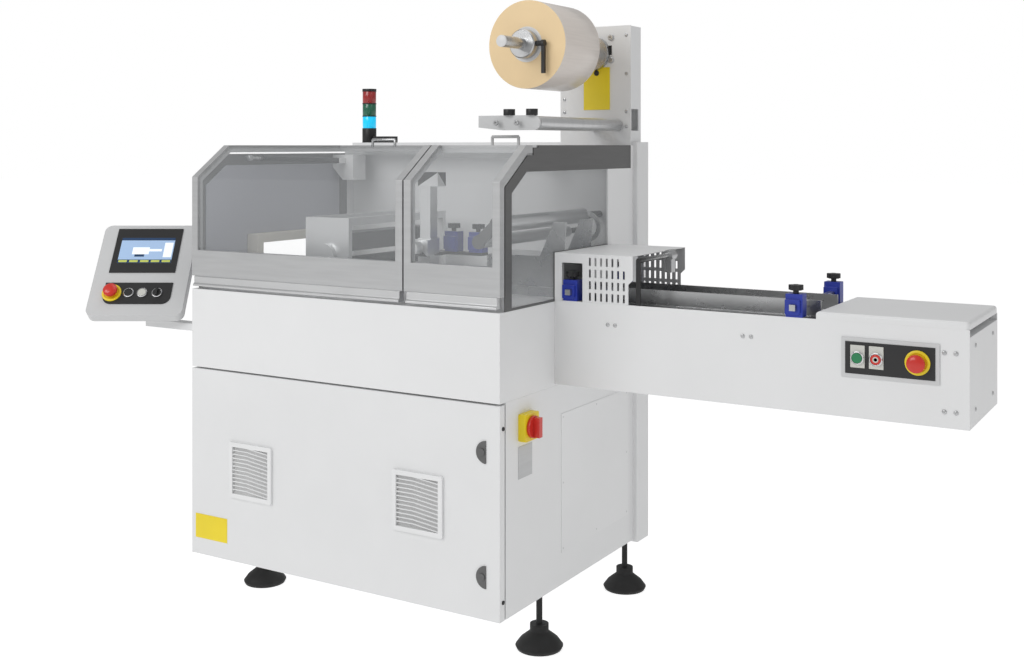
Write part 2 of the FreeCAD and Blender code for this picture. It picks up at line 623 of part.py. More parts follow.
def end_walls():
    """Fixed sheet frames at both ends, their panes, and the frame round the exit."""
    set_in = "bar_depth + end_gap"
    front_edge = guard_line(set_in, "0", "flap_y - lift_drop + end_gap")
    rear_right = "cab_depth - return_right"
    outer = front_edge + [
        ("flap_y - lift_drop + end_gap", "guard_top - flap_relief"),
        ("flap_y + 2 * lift_drop", "guard_top - flap_relief"),
        ("flap_y + 2 * lift_drop", "guard_top"), ("cab_depth", "guard_top"),
        ("cab_depth", "guard_top - end_band"), (rear_right, "guard_top - end_band"),
        (rear_right, "0")]
    right = slab("right_end", "YZ_Plane", outer, "end_thick", "-end_thick", "0", "deck")
    opening = end_opening("end_post", "end_band", "0") + [
        (rear_right, "guard_top - end_band"), (rear_right, "tunnel_height + end_foot"),
        ("beam_y", "tunnel_height + end_foot"), ("beam_y", "end_foot")]
    window = slab("right_window", "YZ_Plane", opening, "end_thick", "-end_thick", "0", "deck")
    mouth = box("end_thick", f"{rear_right} - beam_y - exit_bar", "tunnel_height - 8",
                "-end_thick", "beam_y + exit_bar", "deck")
    node(cut(right, window, mouth), "right_end_frame")
    lapped = end_opening("end_post - pane_lap", "end_band - pane_lap", "0") + [
        (rear_right, "guard_top - end_band + pane_lap"),
        (rear_right, "tunnel_height + end_foot - pane_lap"),
        ("beam_y + pane_lap", "tunnel_height + end_foot - pane_lap"), ("beam_y + pane_lap", "0")]
    node(slab("right_pane", "YZ_Plane", lapped, "tint_thick", "-end_thick - tint_thick", "0",
              "deck"), "right_end_pane")
    low = guard_line(set_in, "0", "cab_depth - return_left")
    outer = low + [("cab_depth - return_left", "0")]
    left = slab("left_end", "YZ_Plane", outer, "end_thick", "left", "0", "deck")
    far = "exit_y + exit_width"
    opening = end_opening("end_post", "end_band", "0") + [
        (far, "guard_top - end_band"), (far, "exit_height + end_foot"),
        ("exit_y - end_foot", "exit_height + end_foot"), ("exit_y - end_foot", "end_foot")]
    window = slab("left_window", "YZ_Plane", opening, "end_thick", "left", "0", "deck")
    mouth = box("end_thick", "exit_width - 2 * exit_bar", "exit_height - exit_bar", "left",
                "exit_y + exit_bar", "deck")
    node(cut(left, window, mouth), "left_end_frame")
    lapped = end_opening("end_post - pane_lap", "end_band - pane_lap", "0") + [
        (f"{far} + pane_lap", "guard_top - end_band + pane_lap"),
        (f"{far} + pane_lap", "exit_height"), ("exit_y", "exit_height"), ("exit_y", "0")]
    node(slab("left_pane", "YZ_Plane", lapped, "tint_thick", "left + end_thick", "0", "deck"),
         "left_end_pane")
    x = "left + end_thick + tint_thick"
    hood = box("exit_depth", "exit_width", "exit_height", x, "exit_y", "deck")
    hole = box("exit_depth", "exit_width - 2 * exit_bar", "exit_height - exit_bar", x,
               "exit_y + exit_bar", "deck")
    node(cut(hood, hole), "exit_hood")


def end_opening(post, band, foot):
    """Front and top edges of the opening in an end wall: post, sloped brow, and band."""
    turn = f"fold_height - ({post}) * {HALF_LOW}"
    brow = f"{post} + (guard_top - ({band}) - ({turn})) * {SLOPE}"
    return [(post, f"{foot} + end_foot") if foot == "0" else (post, foot), (post, turn),
            (brow, f"guard_top - ({band})")]


# ---------------------------------------------------------------- gas spring
def gas_spring():
    """Bracket with its stud, tube on the stud, and rod that slides in the tube."""
    x = "left + end_thick + tint_thick"
    body = new_body("bracket_body")
    sketch = sketch_on(body, "XZ_Plane")
    draw_outline(sketch, [
        ("bracket_cut", "0"), ("bracket_width", "0"), ("bracket_width", "bracket_drop"),
        ("0", "bracket_drop"), ("0", "bracket_cut")])
    depth = "cab_depth - rail_depth - bracket_y"
    pad(body, sketch, depth, back=True)
    move(body, x, "bracket_y", "top - rail_thick - bracket_drop")
    lug = box("lug_thick", "bracket_y - spring_rear_y + eye_radius", "2 * eye_radius",
              "spring_x + tube_radius + 1", "spring_rear_y - eye_radius",
              "spring_rear_z - eye_radius")
    roof = box("bracket_width", depth, "rail_thick / 2", x, "bracket_y",
               "top - rail_thick - rail_thick / 2")
    stud = rod("stud_radius", "eye_width / 2 + tube_radius + 2", "spring_x - eye_width / 2",
               "spring_rear_y", "spring_rear_z", "x")
    node(fuse(body, roof, lug, stud), "spring_bracket")
    angle = value("atan((spring_rear_z - spring_front_z) / (spring_rear_y - spring_front_y))")
    tilt = FreeCAD.Rotation(AXES["x"], angle)
    spot = ("spring_x", "spring_rear_y", "spring_rear_z")
    node(move(spring_tube(), *spot, tilt), "spring_tube")
    node(move(spring_rod(), *spot, tilt), "spring_rod")


def spring_tube():
    """Tube with its rear eye, modelled from the eye forwards along minus y."""
    body = new_body("tube_body")
    eye = sketch_on(body, "YZ_Plane")
    draw_circle(eye, "0", "0", "eye_radius")
    pad(body, eye, "eye_width", both=True)
    barrel = sketch_on(body, "XZ_Plane", "eye_radius - 1")
    draw_circle(barrel, "0", "0", "tube_radius")
    pad(body, barrel, "tube_length")
    hole = sketch_on(body, "YZ_Plane", "-eye_width")
    draw_circle(hole, "0", "0", "stud_radius + pin_clear")
    pocket(body, hole, "2 * eye_width", back=True)
    bore = sketch_on(body, "XZ_Plane", "3 * eye_radius")
    draw_circle(bore, "0", "0", "rod_radius + rod_clear")
    pocket(body, bore, "tube_length", back=True)
    return body


def spring_rod():
    """Rod with its front eye and the stud that reaches towards the guard's side bar."""
    body = new_body("rod_body")
    start = sketch_on(body, "XZ_Plane", "5 * eye_radius")
    draw_circle(start, "0", "0", "rod_radius")
    pad(body, start, "spring_length - 5 * eye_radius")
    eye = sketch_on(body, "YZ_Plane")
    draw_circle(eye, "-spring_length", "0", "eye_radius")
    pad(body, eye, "eye_width", both=True)
    stud = sketch_on(body, "YZ_Plane", "-eye_width / 2 - stud_length + 1")
    draw_circle(stud, "-spring_length", "0", "stud_radius")
    pad(body, stud, "stud_length")
    return body


# ---------------------------------------------------------------- conveyor
def conveyor():
    """Box beam with an open top, its bed, the lug chain in the bed and the lid at the end."""
    body = new_body("beam_body")
    sketch = sketch_on(body, "YZ_Plane")
    wide, tall, skin = "beam_width", "beam_height", "beam_skin"
    floor = "beam_height - bed_drop"
    draw_outline(sketch, [
        ("0", "0"), (wide, "0"), (wide, tall), (f"{wide} - {skin}", tall),
        (f"{wide} - {skin}", floor), (skin, floor), (skin, tall), ("0", tall)])
    pad(body, sketch, "beam_length")
    node(move(body, "0", "beam_y", "beam_top - beam_height"), "conveyor_beam")
    low = "beam_top - bed_drop"
    half = "(beam_width - 2 * bed_margin - chain_slot) / 2"
    front = box("open_run", half, "bed_thick", "0", "beam_y + bed_margin", low)
    back = box("open_run", half, "bed_thick", "0", f"beam_y + bed_margin + {half} + chain_slot", low)
    node(group(front, back), "conveyor_bed")
    node(lug_chain(low), "infeed_chain")
    lid = new_body("lid_body")
    sketch = sketch_on(lid, "XY_Plane")
    draw_outline(sketch, [("0", "0"), ("lid_length", "0"), ("lid_length", wide), ("0", wide)])
    pad(lid, sketch, "lid_thick")
    round_edges(lid, "lid_corner", lambda edge: runs_along(edge, "z")
                and edge.CenterOfMass.x > value("lid_length") - 1)
    round_edges(lid, "lid_round", lambda edge: edge.CenterOfMass.z > value("lid_thick") - 0.01)
    node(move(lid, "open_run", "beam_y", "beam_top"), "end_lid")


def lug_chain(low):
    """The top run of the infeed chain: a bar of links set out by a linear pattern."""
    body = new_body("chain_body")
    base = sketch_on(body, "XY_Plane")
    run = "open_run - 2 * link_pitch"
    half = "chain_width / 2"
    draw_outline(base, [("0", f"-{half}"), (run, f"-{half}"), (run, half), ("0", half)])
    pad(body, base, "chain_height - link_step")
    raised = sketch_on(body, "XY_Plane", "chain_height - link_step")
    draw_outline(raised, [("0", f"-{half} + 4"), ("link_length", f"-{half} + 4"),
                          ("link_length", f"{half} - 4"), ("0", f"{half} - 4")])
    links = pad(body, raised, "link_step")
    row = body.newObject("PartDesign::LinearPattern", "link_row")
    row.Originals = [links]
    row.Direction = (origin_axis(body, "X_Axis"), [""])
    count = math.floor(value(run) / value("link_pitch"))
    row.Length = (count - 1) * value("link_pitch")
    row.Occurrences = count
    body.Tip = row
    doc.recompute()
    return move(body, "link_pitch", "beam_y + beam_width / 2", low)


def origin_axis(body, role):
    """One of the body's own three base axes."""
    return next(part for part in body.Origin.OriginFeatures if part.Role == role)


def tunnel_guard():
    """Bent cover over the first stretch of the conveyor, slotted on both sides."""
    body = new_body("tunnel_body")
    sketch = sketch_on(body, "YZ_Plane")
    wide, tall, skin = "beam_width", "tunnel_height", "tunnel_sheet"
    draw_outline(sketch, [
        ("0", "0"), (skin, "0"), (skin, f"{tall} - {skin}"), (f"{wide} - {skin}", f"{tall} - {skin}"),
        (f"{wide} - {skin}", "0"), (wide, "0"), (wide, tall), ("0", tall)])
    pad(body, sketch, "tunnel_length")
    nose = sketch_on(body, "XZ_Plane", "1")
    edge = "tunnel_length - nose_width"
    draw_outline(nose, [("tunnel_length + 1", "-1"), ("tunnel_length + 1", "nose_drop"),
                        (f"{edge}", "nose_drop - nose_width"), (edge, "-1")])
    pocket(body, nose, "beam_width + 2")
    window = sketch_on(body, "XZ_Plane", "1")
    draw_outline(window, [("window_x", "-1"), ("window_x + window_width", "-1"),
                          ("window_x + window_width", "window_height"),
                          ("window_x", "window_height")])
    pocket(body, window, "beam_width + 2")
    slits = sketch_on(body, "XZ_Plane", "1")
    for column in range(7):
        for row in range(4):
            if (column, row) == (6, 3):
                continue
            left = f"slit_x + {column} * slit_pitch - slit_width / 2"
            low = f"slit_rows_z + {row} * slit_row_pitch - slit_height / 2"
            draw_outline(slits, [(left, low), (f"{left} + slit_width", low),
                                 (f"{left} + slit_width", f"{low} + slit_height"),
                                 (left, f"{low} + slit_height")])
    pocket(body, slits, "beam_width + 2")
    node(move(body, "0", "beam_y", "beam_top"), "tunnel_guard")


def guide_rails():
    """Two product rails, the bars that carry them, and the clamps that hold the bars."""
    low = "beam_top - bed_drop + bed_thick + rail_lift"
    strips = []
    for y in ("rail_front_y", "rail_back_y"):
        strips.append(box("rail_right_x - rail_left_x", "rail_strip", "rail_tall", "rail_left_x",
                          y, low))
    bars = []
    for spot in ("clamp_x", "clamp_x + clamp_pitch"):
        x = f"{spot} - bar_side / 2"
        z = "beam_top + clamp_height * 0.3"
        out = "beam_y - bar_side"
        bars.append(box("bar_side", f"rail_front_y - ({out})", "bar_side", x, out, z))
        far = "beam_y + beam_width + bar_side"
        bars.append(box("bar_side", f"{far} - rail_back_y - rail_strip", "bar_side", x,
                        "rail_back_y + rail_strip", z))
    front = fuse(strips[0], bars[0], bars[2])
    back = fuse(strips[1], bars[1], bars[3])
    node(group(front, back), "guide_rails")
    blocks = []
    knobs = []
    for spot in ("clamp_x", "clamp_x + clamp_pitch"):
        for y in ("beam_y", "beam_y + beam_width - clamp_width"):
            block = clamp_block(spot, y, "beam_top")
            gap = box("bar_side", "clamp_width + clamp_step", "bar_side",
                      f"{spot} - bar_side / 2", f"{y} - clamp_step",
                      "beam_top + clamp_height * 0.3")
            blocks.append(cut(block, gap))
            knobs.append(clamp_knob(spot, f"{y} + clamp_width / 2", "beam_top + clamp_height"))
    up = "deck + inner_clamp_up"
    for spot in ("inner_left_x", "inner_left_x + inner_pitch"):
        blocks.append(clamp_block(spot, "inner_clamp_y", up))
        knobs.append(clamp_knob(spot, "inner_clamp_y + clamp_width / 2", f"{up} + clamp_height"))
    node(group(*blocks), "rail_clamps")
    node(group(*knobs), "clamp_knobs")


def clamp_block(x, y, z):
    """One clamp block with the jaw that steps out of its front, centred on x."""
    body = new_body("clamp_body")
    sketch = sketch_on(body, "XY_Plane")
    half = "clamp_length / 2"
    draw_outline(sketch, [(f"-{half}", "0"), (half, "0"), (half, "clamp_width"),
                          (f"-{half}", "clamp_width")])
    pad(body, sketch, "clamp_height")
    step = sketch_on(body, "XZ_Plane")
    low, high = "clamp_height * 0.12", "clamp_height * 0.76"
    draw_outline(step, [(f"-{half}", low), (f"{half} - 2 * clamp_step", low),
                        (f"{half} - clamp_step", f"{low} + clamp_step"),
                        (f"{half} - clamp_step", high), (f"-{half}", high)])
    pad(body, step, "clamp_step")
    return move(body, x, y, z)


def clamp_knob(x, y, z):
    """A lobed hand knob on its neck."""
    body = new_body("knob_body")
    neck = sketch_on(body, "XY_Plane")
    draw_outline(neck, ring_points("clamp_neck", 6, 1))
    pad(body, neck, "clamp_neck_tall")
    lobes = sketch_on(body, "XY_Plane", "clamp_neck_tall")
    draw_outline(lobes, ring_points("clamp_knob", 15, 0.78))
    pad(body, lobes, "clamp_knob_tall")
    return move(body, x, y, z)


def ring_points(radius, count, dip):
    """Points round a circle; every third one is drawn in by the dip, which leaves lobes."""
    points = []
    for number in range(count):
        turn = 2 * math.pi * number / count
        reach = dip if number % 3 == 0 else 1
        points.append((f"{radius} * {reach * math.cos(turn):.5f}",
                       f"{radius} * {reach * math.sin(turn):.5f}"))
    return points


def photo_eye():
    """Round rod across the infeed with a clamp head that holds the photo eye."""
    y = "beam_y"
    z = "beam_top + tunnel_height - eye_rod_radius - 4"
    x = "tunnel_length + eye_head_radius + 0.5"
    bar = rod("eye_rod_radius", "eye_rod_length", x, y, z, "y")
    head_y = f"{y} + eye_rod_length - 6"
    head = rod("eye_head_radius", "eye_head_length", x, head_y, z, "y")
    drop = box("eye_body_width", "eye_head_length * 0.7", "eye_body_tall",
               f"{x} - eye_body_width / 2", f"{head_y} + 5",
               f"{z} - eye_body_tall")
    foot = box("2 * eye_rod_radius", "beam_skin", f"{z} - beam_top", f"{x} - eye_rod_radius", y,
               "beam_top")
    node(fuse(bar, head, drop, foot), "photo_eye")


def button(radius, proud, x, y, z):
    """A round push button that stands out towards the front."""
    return rod(radius, proud, x, f"{y} - ({proud})", z, "y")


def stop_button(x, y, z):
    """An emergency stop: collar, neck and mushroom head with a rounded rim."""
    body = new_body("stop_body")
    sketch = sketch_on(body, "XZ_Plane")
    neck_top = "collar_thick + stop_neck_tall"
    full = f"{neck_top} + stop_head_tall"
    draw_outline(sketch, [
        ("0", "0"), ("stop_collar", "0"), ("stop_collar", "collar_thick"),
        ("stop_neck", "collar_thick"), ("stop_neck", neck_top), ("stop_head - 3", neck_top),
        ("stop_head", f"{neck_top} + 3"), ("stop_head", f"{full} - stop_round"),
        ("stop_head - stop_round", full), ("0", full)])
    revolve(body, sketch)
    return body


def conveyor_controls():
    """Plate on the beam's front with start, halt and emergency stop."""
    y = "beam_y - plate_thick"
    node(box("plate_width", "plate_thick", "plate_height", "plate_x", y, "plate_z"),
         "control_plate")
    items = [button("button_radius", "button_proud", x, y, "button_z")
             for x in ("start_x", "halt_x")]
    stop = stop_button("stop_x", y, "button_z")
    towards = FreeCAD.Rotation(AXES["z"], FreeCAD.Vector(0, -1, 0))
    items.append(move(stop, "stop_x", y, "button_z", towards))
    node(group(*items), "control_buttons")


# ---------------------------------------------------------------- film unwinder
def column():
    """Sheet column on top of the rear wall: front plate, inset sides and back."""
    top = "top"
    tall = f"column_top - ({top})"
    front = box("column_width", "column_sheet", tall, "-column_width", "cab_depth", top)
    base = f"{top} + cover_rise"
    side_tall = f"column_top - ({base})"
    deep = "column_depth - column_sheet"
    y = "cab_depth + column_sheet"
    y_side = "cab_depth + rear_thick"
    side_deep = "column_depth - rear_thick"
    sides = [box("column_sheet", side_deep, side_tall, x, y_side, base)
             for x in ("-column_width", "-column_inset - column_sheet")]
    joints = [box("column_sheet", "rear_thick - column_sheet", tall, x, y, top)
              for x in ("-column_width", "-column_inset - column_sheet")]
    back = box("column_width - column_inset", "column_sheet", side_tall, "-column_width",
               "cab_depth + column_depth - column_sheet", base)
    window = box("column_sheet", "window_deep", "window_tall", "-column_inset - column_sheet",
                 f"{y_side} + 4", "window_low")
    shell = cut(fuse(front, *sides, *joints, back), window)
    node(shell, "unwinder_column")
    flange_y = "cab_depth - flange_thick"
    disc = rod("flange_radius", "flange_thick", "reel_x", flange_y, "reel_z", "y")
    seat = rod("spindle_radius + shaft_clear", "shaft_seat", "reel_x", flange_y, "reel_z", "y")
    node(cut(disc, seat), "spindle_flange")


def reel():
    """Film roll on its chuck and spindle, with the clamping lever: these turn together."""
    roll = rod("reel_radius", "reel_width", "reel_x", "reel_front", "reel_z", "y")
    hole = rod("hub_radius", "reel_width", "reel_x", "reel_front", "reel_z", "y")
    node(cut(roll, hole), "film_reel")
    body = new_body("spindle_body")
    sketch = sketch_on(body, "XZ_Plane")
    hub_low, hub_high = "hub_front - spindle_front", "reel_front + reel_width - spindle_front"
    end = "cab_depth - flange_thick + shaft_seat - 0.5 - spindle_front"
    draw_outline(sketch, [
        ("0", "0"), ("spindle_radius - 2", "0"), ("spindle_radius", "2"),
        ("spindle_radius", hub_low), ("hub_radius - hub_round", hub_low),
        ("hub_radius", f"{hub_low} + hub_round"), ("hub_radius", hub_high),
        ("spindle_radius", hub_high), ("spindle_radius", end), ("0", end)])
    revolve(body, sketch)
    backwards = FreeCAD.Rotation(AXES["z"], AXES["y"])
    node(move(body, "reel_x", "spindle_front", "reel_z", backwards), "spindle")
    node(clamp_lever(), "clamp_lever")


def clamp_lever():
    """Ball-ended lever on the chuck: boss on the hub's side, and the arm hanging from it."""
    y = "hub_front + (reel_front - hub_front) / 2"
    boss = rod("lever_boss - 2", "lever_out", "reel_x + hub_radius + 0.3", y, "reel_z", "x")
    x = "reel_x + hub_radius + lever_out"
    head = rod("lever_boss", "lever_thick", x, y, "reel_z", "x")
    arm = box("lever_thick", "lever_thick", "lever_arm", x,
              f"{y} - lever_thick / 2", "reel_z - lever_arm")
    return fuse(boss, head, arm)


def idlers():
    """Two cantilevered idler rollers on the column and the link plate across their ends."""
    rollers = []
    for x in ("idler_left_x", "idler_right_x"):
        start = "idler_front + idler_clear"
        span = f"cab_depth - idler_clear - ({start})"
        shell = rod("idler_radius", span, x, start, "idler_z", "y")
        shaft = rod("idler_shaft", "cab_depth - idler_front", x, "idler_front", "idler_z", "y")
        rollers.append(fuse(shell, shaft))
    node(group(*rollers), "idler_rollers")
    body = new_body("link_body")
    sketch = sketch_on(body, "XZ_Plane")
    half = "link_right"
    low_half = "link_left_tall / 2"
    draw_outline(sketch, [
        ("link_left_x", f"-{low_half}"), ("idler_left_x - link_right", f"-{half}"),
        ("idler_right_x + link_right", f"-{half}"), ("idler_right_x + link_right", half),
        ("link_left_x", half)])
    pad(body, sketch, "link_thick", back=True)
    round_edges(body, "link_right - 1", lambda edge: runs_along(edge, "y")
                and edge.CenterOfMass.x > value("idler_right_x"))
    move(body, "0", "idler_front - link_thick", "idler_z")
    knobs = [rod("link_knob", "link_knob_tall", x, "idler_front - link_thick / 2",
                 "idler_z + link_right") for x in ("idler_left_x", "idler_right_x - 6")]
    node(fuse(body, *knobs), "idler_link")


# ---------------------------------------------------------------- signal tower and operator panel
def tower():
    """Signal tower: black base, rings and cap in one part, and three lenses in another."""
    y = "rear + cover_depth / 2"
    base = "top + cover_rise"
    black = [rod("tower_radius", "tower_base", "tower_x", y, base)]
    lenses = []
    low = f"{base} + tower_base"
    for number in range(3):
        lenses.append(rod("tower_radius - lens_shy", "lens_tall", "tower_x", y, low))
        low = f"{low} + lens_tall"
        thick = "cap_tall" if number == 2 else "ring_tall"
        black.append(rod("tower_radius", thick, "tower_x", y, low))
        low = f"{low} + {thick}"
    junction = box("box_length", "box_width", "box_tall", "tower_x + tower_radius + box_gap",
                   "rear + 4", base)
    node(group(*black, junction), "tower_base")
    node(group(*lenses), "tower_lenses")


def panel_spin():
    """Rotation of the operator panel: tilted back, then turned about the upright."""
    turn = FreeCAD.Rotation(AXES["z"], value("panel_turn"))
    return turn.multiply(FreeCAD.Rotation(AXES["x"], 90 - value("panel_tilt")))


def on_panel(body):
    """Seats a body drawn in panel coordinates: x across, y up the face, z out of it."""
    return move(body, "panel_x", "panel_y", "panel_z", panel_spin())


def panel_sketch(body, raised, width, height, up):
    """A centred rectangle on the panel's face, with its middle that far up the face."""
    sketch = sketch_on(body, "XY_Plane", raised)
    half = f"({width}) / 2"
    low, high = (f"{up} - panel_screen_up {sign} ({height}) / 2" for sign in "-+")
    draw_outline(sketch, [(f"-{half}", low), (half, low), (half, high), (f"-{half}", high)])
    return sketch


def operator_panel():
    """Rounded housing with the screen and the row of controls, on a swivel post."""
    body = new_body("panel_body")
    pad(body, panel_sketch(body, "-panel_thick", "panel_width", "panel_height",
                           "panel_height / 2"), "panel_thick")
    round_edges(body, "panel_corner", lambda edge: runs_along(edge, "z"))
    pad(body, panel_sketch(body, "-panel_thick - hump_depth", "hump_width", "hump_height",
                           "hump_up"), "hump_depth")
    on_panel(body)
    neck_z = "arm_z + arm_tall + post_step + post_gap"
    neck = rod("post_radius", "90", "pivot_x", "pivot_y", neck_z)
    node(fuse(body, neck), "panel_housing")
    bezel = new_body("bezel_body")
    pad(bezel, panel_sketch(bezel, "0", "bezel_width", "bezel_height", "panel_screen_up"),
        "bezel_thick")
    inset = new_body("inset_body")
    pad(inset, panel_sketch(inset, "0", "inset_width", "inset_height", "inset_up"), "bezel_thick")
    round_edges(inset, "inset_corner", lambda edge: runs_along(edge, "z")
                and edge.CenterOfMass.y < value("inset_up - panel_screen_up"))
    node(group(on_panel(bezel), on_panel(inset)), "panel_plates")
    items = []
    for number, across in enumerate(("press_left", "press_second", "press_third",
                                     "press_fourth")):
        items.append(panel_button(across, mushroom=number == 0))
    node(group(*items), "panel_controls")
    arm_x = "pivot_x - arm_width / 2"
    plate = box("arm_plate", "arm_width + 30", "arm_tall + 30", "left - arm_plate",
                "arm_y - 15", "arm_z - 15")
    arm = box(f"left - ({arm_x}) - arm_plate", "arm_width", "arm_tall", arm_x, "arm_y", "arm_z")
    post = rod("post_radius", "post_step", "pivot_x", "pivot_y", "arm_z + arm_tall")
    node(fuse(plate, arm, post), "panel_arm")


def panel_button(across, mushroom):
    """A control on the panel's inset: an emergency stop, or a plain push button."""
    body = new_body("press_body")
    sketch = sketch_on(body, "XZ_Plane")
    if mushroom:
        neck_top = "collar_thick + stop_neck_tall"
        full = f"{neck_top} + stop_head_tall"
        points = [("0", "0"), ("stop_collar", "0"), ("stop_collar", "collar_thick"),
                  ("stop_neck", "collar_thick"), ("stop_neck", neck_top),
                  ("stop_head - 3", neck_top), ("stop_head", f"{neck_top} + 3"),
                  ("stop_head", f"{full} - stop_round"), ("stop_head - stop_round", full),
                  ("0", full)]
    else:
        points = [("0", "0"), ("press_radius", "0"), ("press_radius", "press_proud - 2"),
                  ("press_radius - 2", "press_proud"), ("0", "press_proud")]
    draw_outline(sketch, points)
    revolve(body, sketch)
    spin = panel_spin()
    seat = spin.multVec(FreeCAD.Vector(value(across), value("inset_up - panel_screen_up"),
                                       value("bezel_thick")))
    return move(body, f"panel_x + ({seat.x:.6f})", f"panel_y + ({seat.y:.6f})",
                f"panel_z + ({seat.z:.6f})", spin)


# ---------------------------------------------------------------- inside the guards
def inside():
    """Product table, sealing jaws, height post, film rollers and the film former."""
    run = "cab_length - 2 * end_thick - 2 * tint_thick - exit_depth"
    x = "left + end_thick + tint_thick + exit_depth"
    node(box(run, "table_width", "table_thick", x, "table_y", "deck"), "product_table")
    jaws()
    height_post()
    film_rollers()
    former()


def jaws():
    """Cross-sealing unit: two side plates with beams, bearing boss, jaw block and roller."""
    plates = [box("jaw_width", "jaw_plate", "jaw_top", "jaw_x", y, "deck")
              for y in ("jaw_near_y", "jaw_far_y")]
    span = "jaw_far_y - jaw_near_y - jaw_plate"
    y = "jaw_near_y + jaw_plate"
    beams = [box("jaw_beam", span, "jaw_beam", x, y, "deck + jaw_top - jaw_beam")
             for x in ("jaw_x", "jaw_x + jaw_width - jaw_beam")]
    boss = rod("boss_radius", "boss_thick", "jaw_x + jaw_width / 2", "jaw_near_y - boss_thick",
               "deck + boss_up", "y")
    node(fuse(*plates, *beams, boss), "jaw_frame")
    block = box("jaw_block", span, "jaw_block_tall", "jaw_x + (jaw_width - jaw_block) / 2", y,
                "deck + jaw_block_up")
    roll = rod("jaw_roll", span, "jaw_x + jaw_width / 2", y, "deck + jaw_roll_up", "y")
    node(group(block, roll), "jaw_tools")


def height_post():
    """Upright slide with a cap on top, a gearbox low down and its dial to the front."""
    lower = box("post_side", "post_side", "post_lower", "post_x", "post_y", "deck")
    slim = "(post_side - post_slim) / 2"
    upper = box("post_slim", "post_slim", "post_upper - post_lower", f"post_x + {slim}",
                f"post_y + {slim}", "deck + post_lower")
    cap = box("cap_side", "cap_side * 0.6", "post_cap", "post_x", "post_y", "deck + post_upper")
    dial_z = "deck + dial_up"
    gear = box("gearbox", "gearbox * 0.6", "gearbox * 0.8", "post_x",
               "post_y - gearbox * 0.6", f"{dial_z} - gearbox * 0.4")
    dial = rod("dial_radius", "dial_depth", "post_x + gearbox * 0.35",
               "post_y - gearbox * 0.6 - dial_depth", dial_z, "y")
    shelf_z = "deck + inner_clamp_up - shelf"
    arm = box("post_side", "inner_clamp_y - post_y", "shelf", "post_x", "post_y", shelf_z)
    plate = box("inner_left_x + inner_pitch + clamp_length / 2 - post_x", "clamp_width", "shelf",
                "post_x", "inner_clamp_y", shelf_z)
    node(fuse(lower, upper, cap, gear, dial, arm, plate), "height_post")


def film_rollers():
    """Two long rollers that lead the film down, tied by a link plate at their near ends."""
    top = rod("roll_top", "roll_length", "roll_top_x", "roll_y", "deck + roll_top_up", "y")
    low = rod("roll_low", "roll_length", "roll_low_x", "roll_y", "deck + roll_low_up", "y")
    spots = (("roll_top_x", "roll_top_up", "roll_top"), ("roll_low_x", "roll_low_up", "roll_low"))
    shafts = [rod(f"{radius} / 2", "cab_depth - roll_y - roll_length", x, "roll_y + roll_length",
                  f"deck + {up}", "y") for x, up, radius in spots]
    ends = [rod("roll_link_edge + 4", "roll_link", x, "roll_y - roll_link", f"deck + {up}", "y")
            for x, up, radius in spots]
    body = new_body("roll_link_body")
    sketch = sketch_on(body, "XZ_Plane")
    edge = "roll_link_edge"
    draw_outline(sketch, [
        (f"roll_low_x - {edge}", f"roll_low_up + {edge} / 2"),
        (f"roll_low_x + {edge}", f"roll_low_up - {edge} / 2"),
        (f"roll_top_x + {edge}", f"roll_top_up - {edge} / 2"),
        (f"roll_top_x - {edge}", f"roll_top_up + {edge} / 2")])
    pad(body, sketch, "roll_link", back=True)
    move(body, "0", "roll_y - roll_link", "deck")
    node(fuse(top, low, *shafts, *ends, body), "film_rollers")


def former():
    """Folding box over the table: open channel with two sloped wings and a slotted quadrant."""
    low = "deck + table_thick"
    y = "table_y + (table_width - former_width) / 2"
    outer = box("former_length", "former_width", "former_tall", "former_x", y, low)
    inner = box("former_length", "former_width - 2 * former_sheet", "former_tall - former_sheet",
                "former_x", f"{y} + former_sheet", low)
    channel = cut(outer, inner)
    wings = []
    for wing_y in (y, f"{y} + former_width - former_sheet"):
        wing = slab("wing", "XZ_Plane", [
            ("former_x + former_length - wing_reach * 1.2", "former_tall"),
            ("former_x + former_length", "former_tall"),
            ("former_x + former_length + 8", "former_tall + wing_rise"),
            ("former_x + former_length - wing_reach / 2", "former_tall + wing_rise")],
            "former_sheet", "0", wing_y, low, back=True)
        wings.append(wing)
    channel = fuse(channel, *wings)
    far = "table_y + table_width + 40"
    ring = cut(rod("quadrant_outer", "6", "quadrant_x", far, "deck + quadrant_up", "y"),
               rod("quadrant_inner", "6", "quadrant_x", far, "deck + quadrant_up", "y"),
               box("quadrant_outer", "6", "2 * quadrant_outer", "quadrant_x - quadrant_outer", far,
                   "deck + quadrant_up - quadrant_outer"))
    leg = box("10", "6", "quadrant_up - quadrant_inner", "quadrant_x", far, "deck")
    node(group(channel, fuse(ring, leg)), "film_former")


# ---------------------------------------------------------------- build, check and write
def check():
    """Stops on any failed object or any sub-part without a valid solid."""
    for item in doc.Objects:
        if "Invalid" in item.State or "Error" in item.State:
            raise RuntimeError(f"{item.Label} failed: {item.State}")
    for item in nodes:
        shape = item.Shape
        if shape.isNull() or not shape.isValid() or not shape.Solids:
            raise RuntimeError(f"{item.Label} has no valid solid")


def write():
    """Writes each sub-part to its own file and prints its size."""
    os.makedirs("parts", exist_ok=True)
    whole = FreeCAD.BoundBox()
    for item in nodes:
        item.Shape.exportStep(f"parts/{item.Label}.step")
        whole.add(item.Shape.BoundBox)
    print(len(nodes), "nodes")
    print("low corner", round(whole.XMin, 1), round(whole.YMin, 1), round(whole.ZMin, 1))
    print("high corner", round(whole.XMax, 1), round(whole.YMax, 1), round(whole.ZMax, 1))


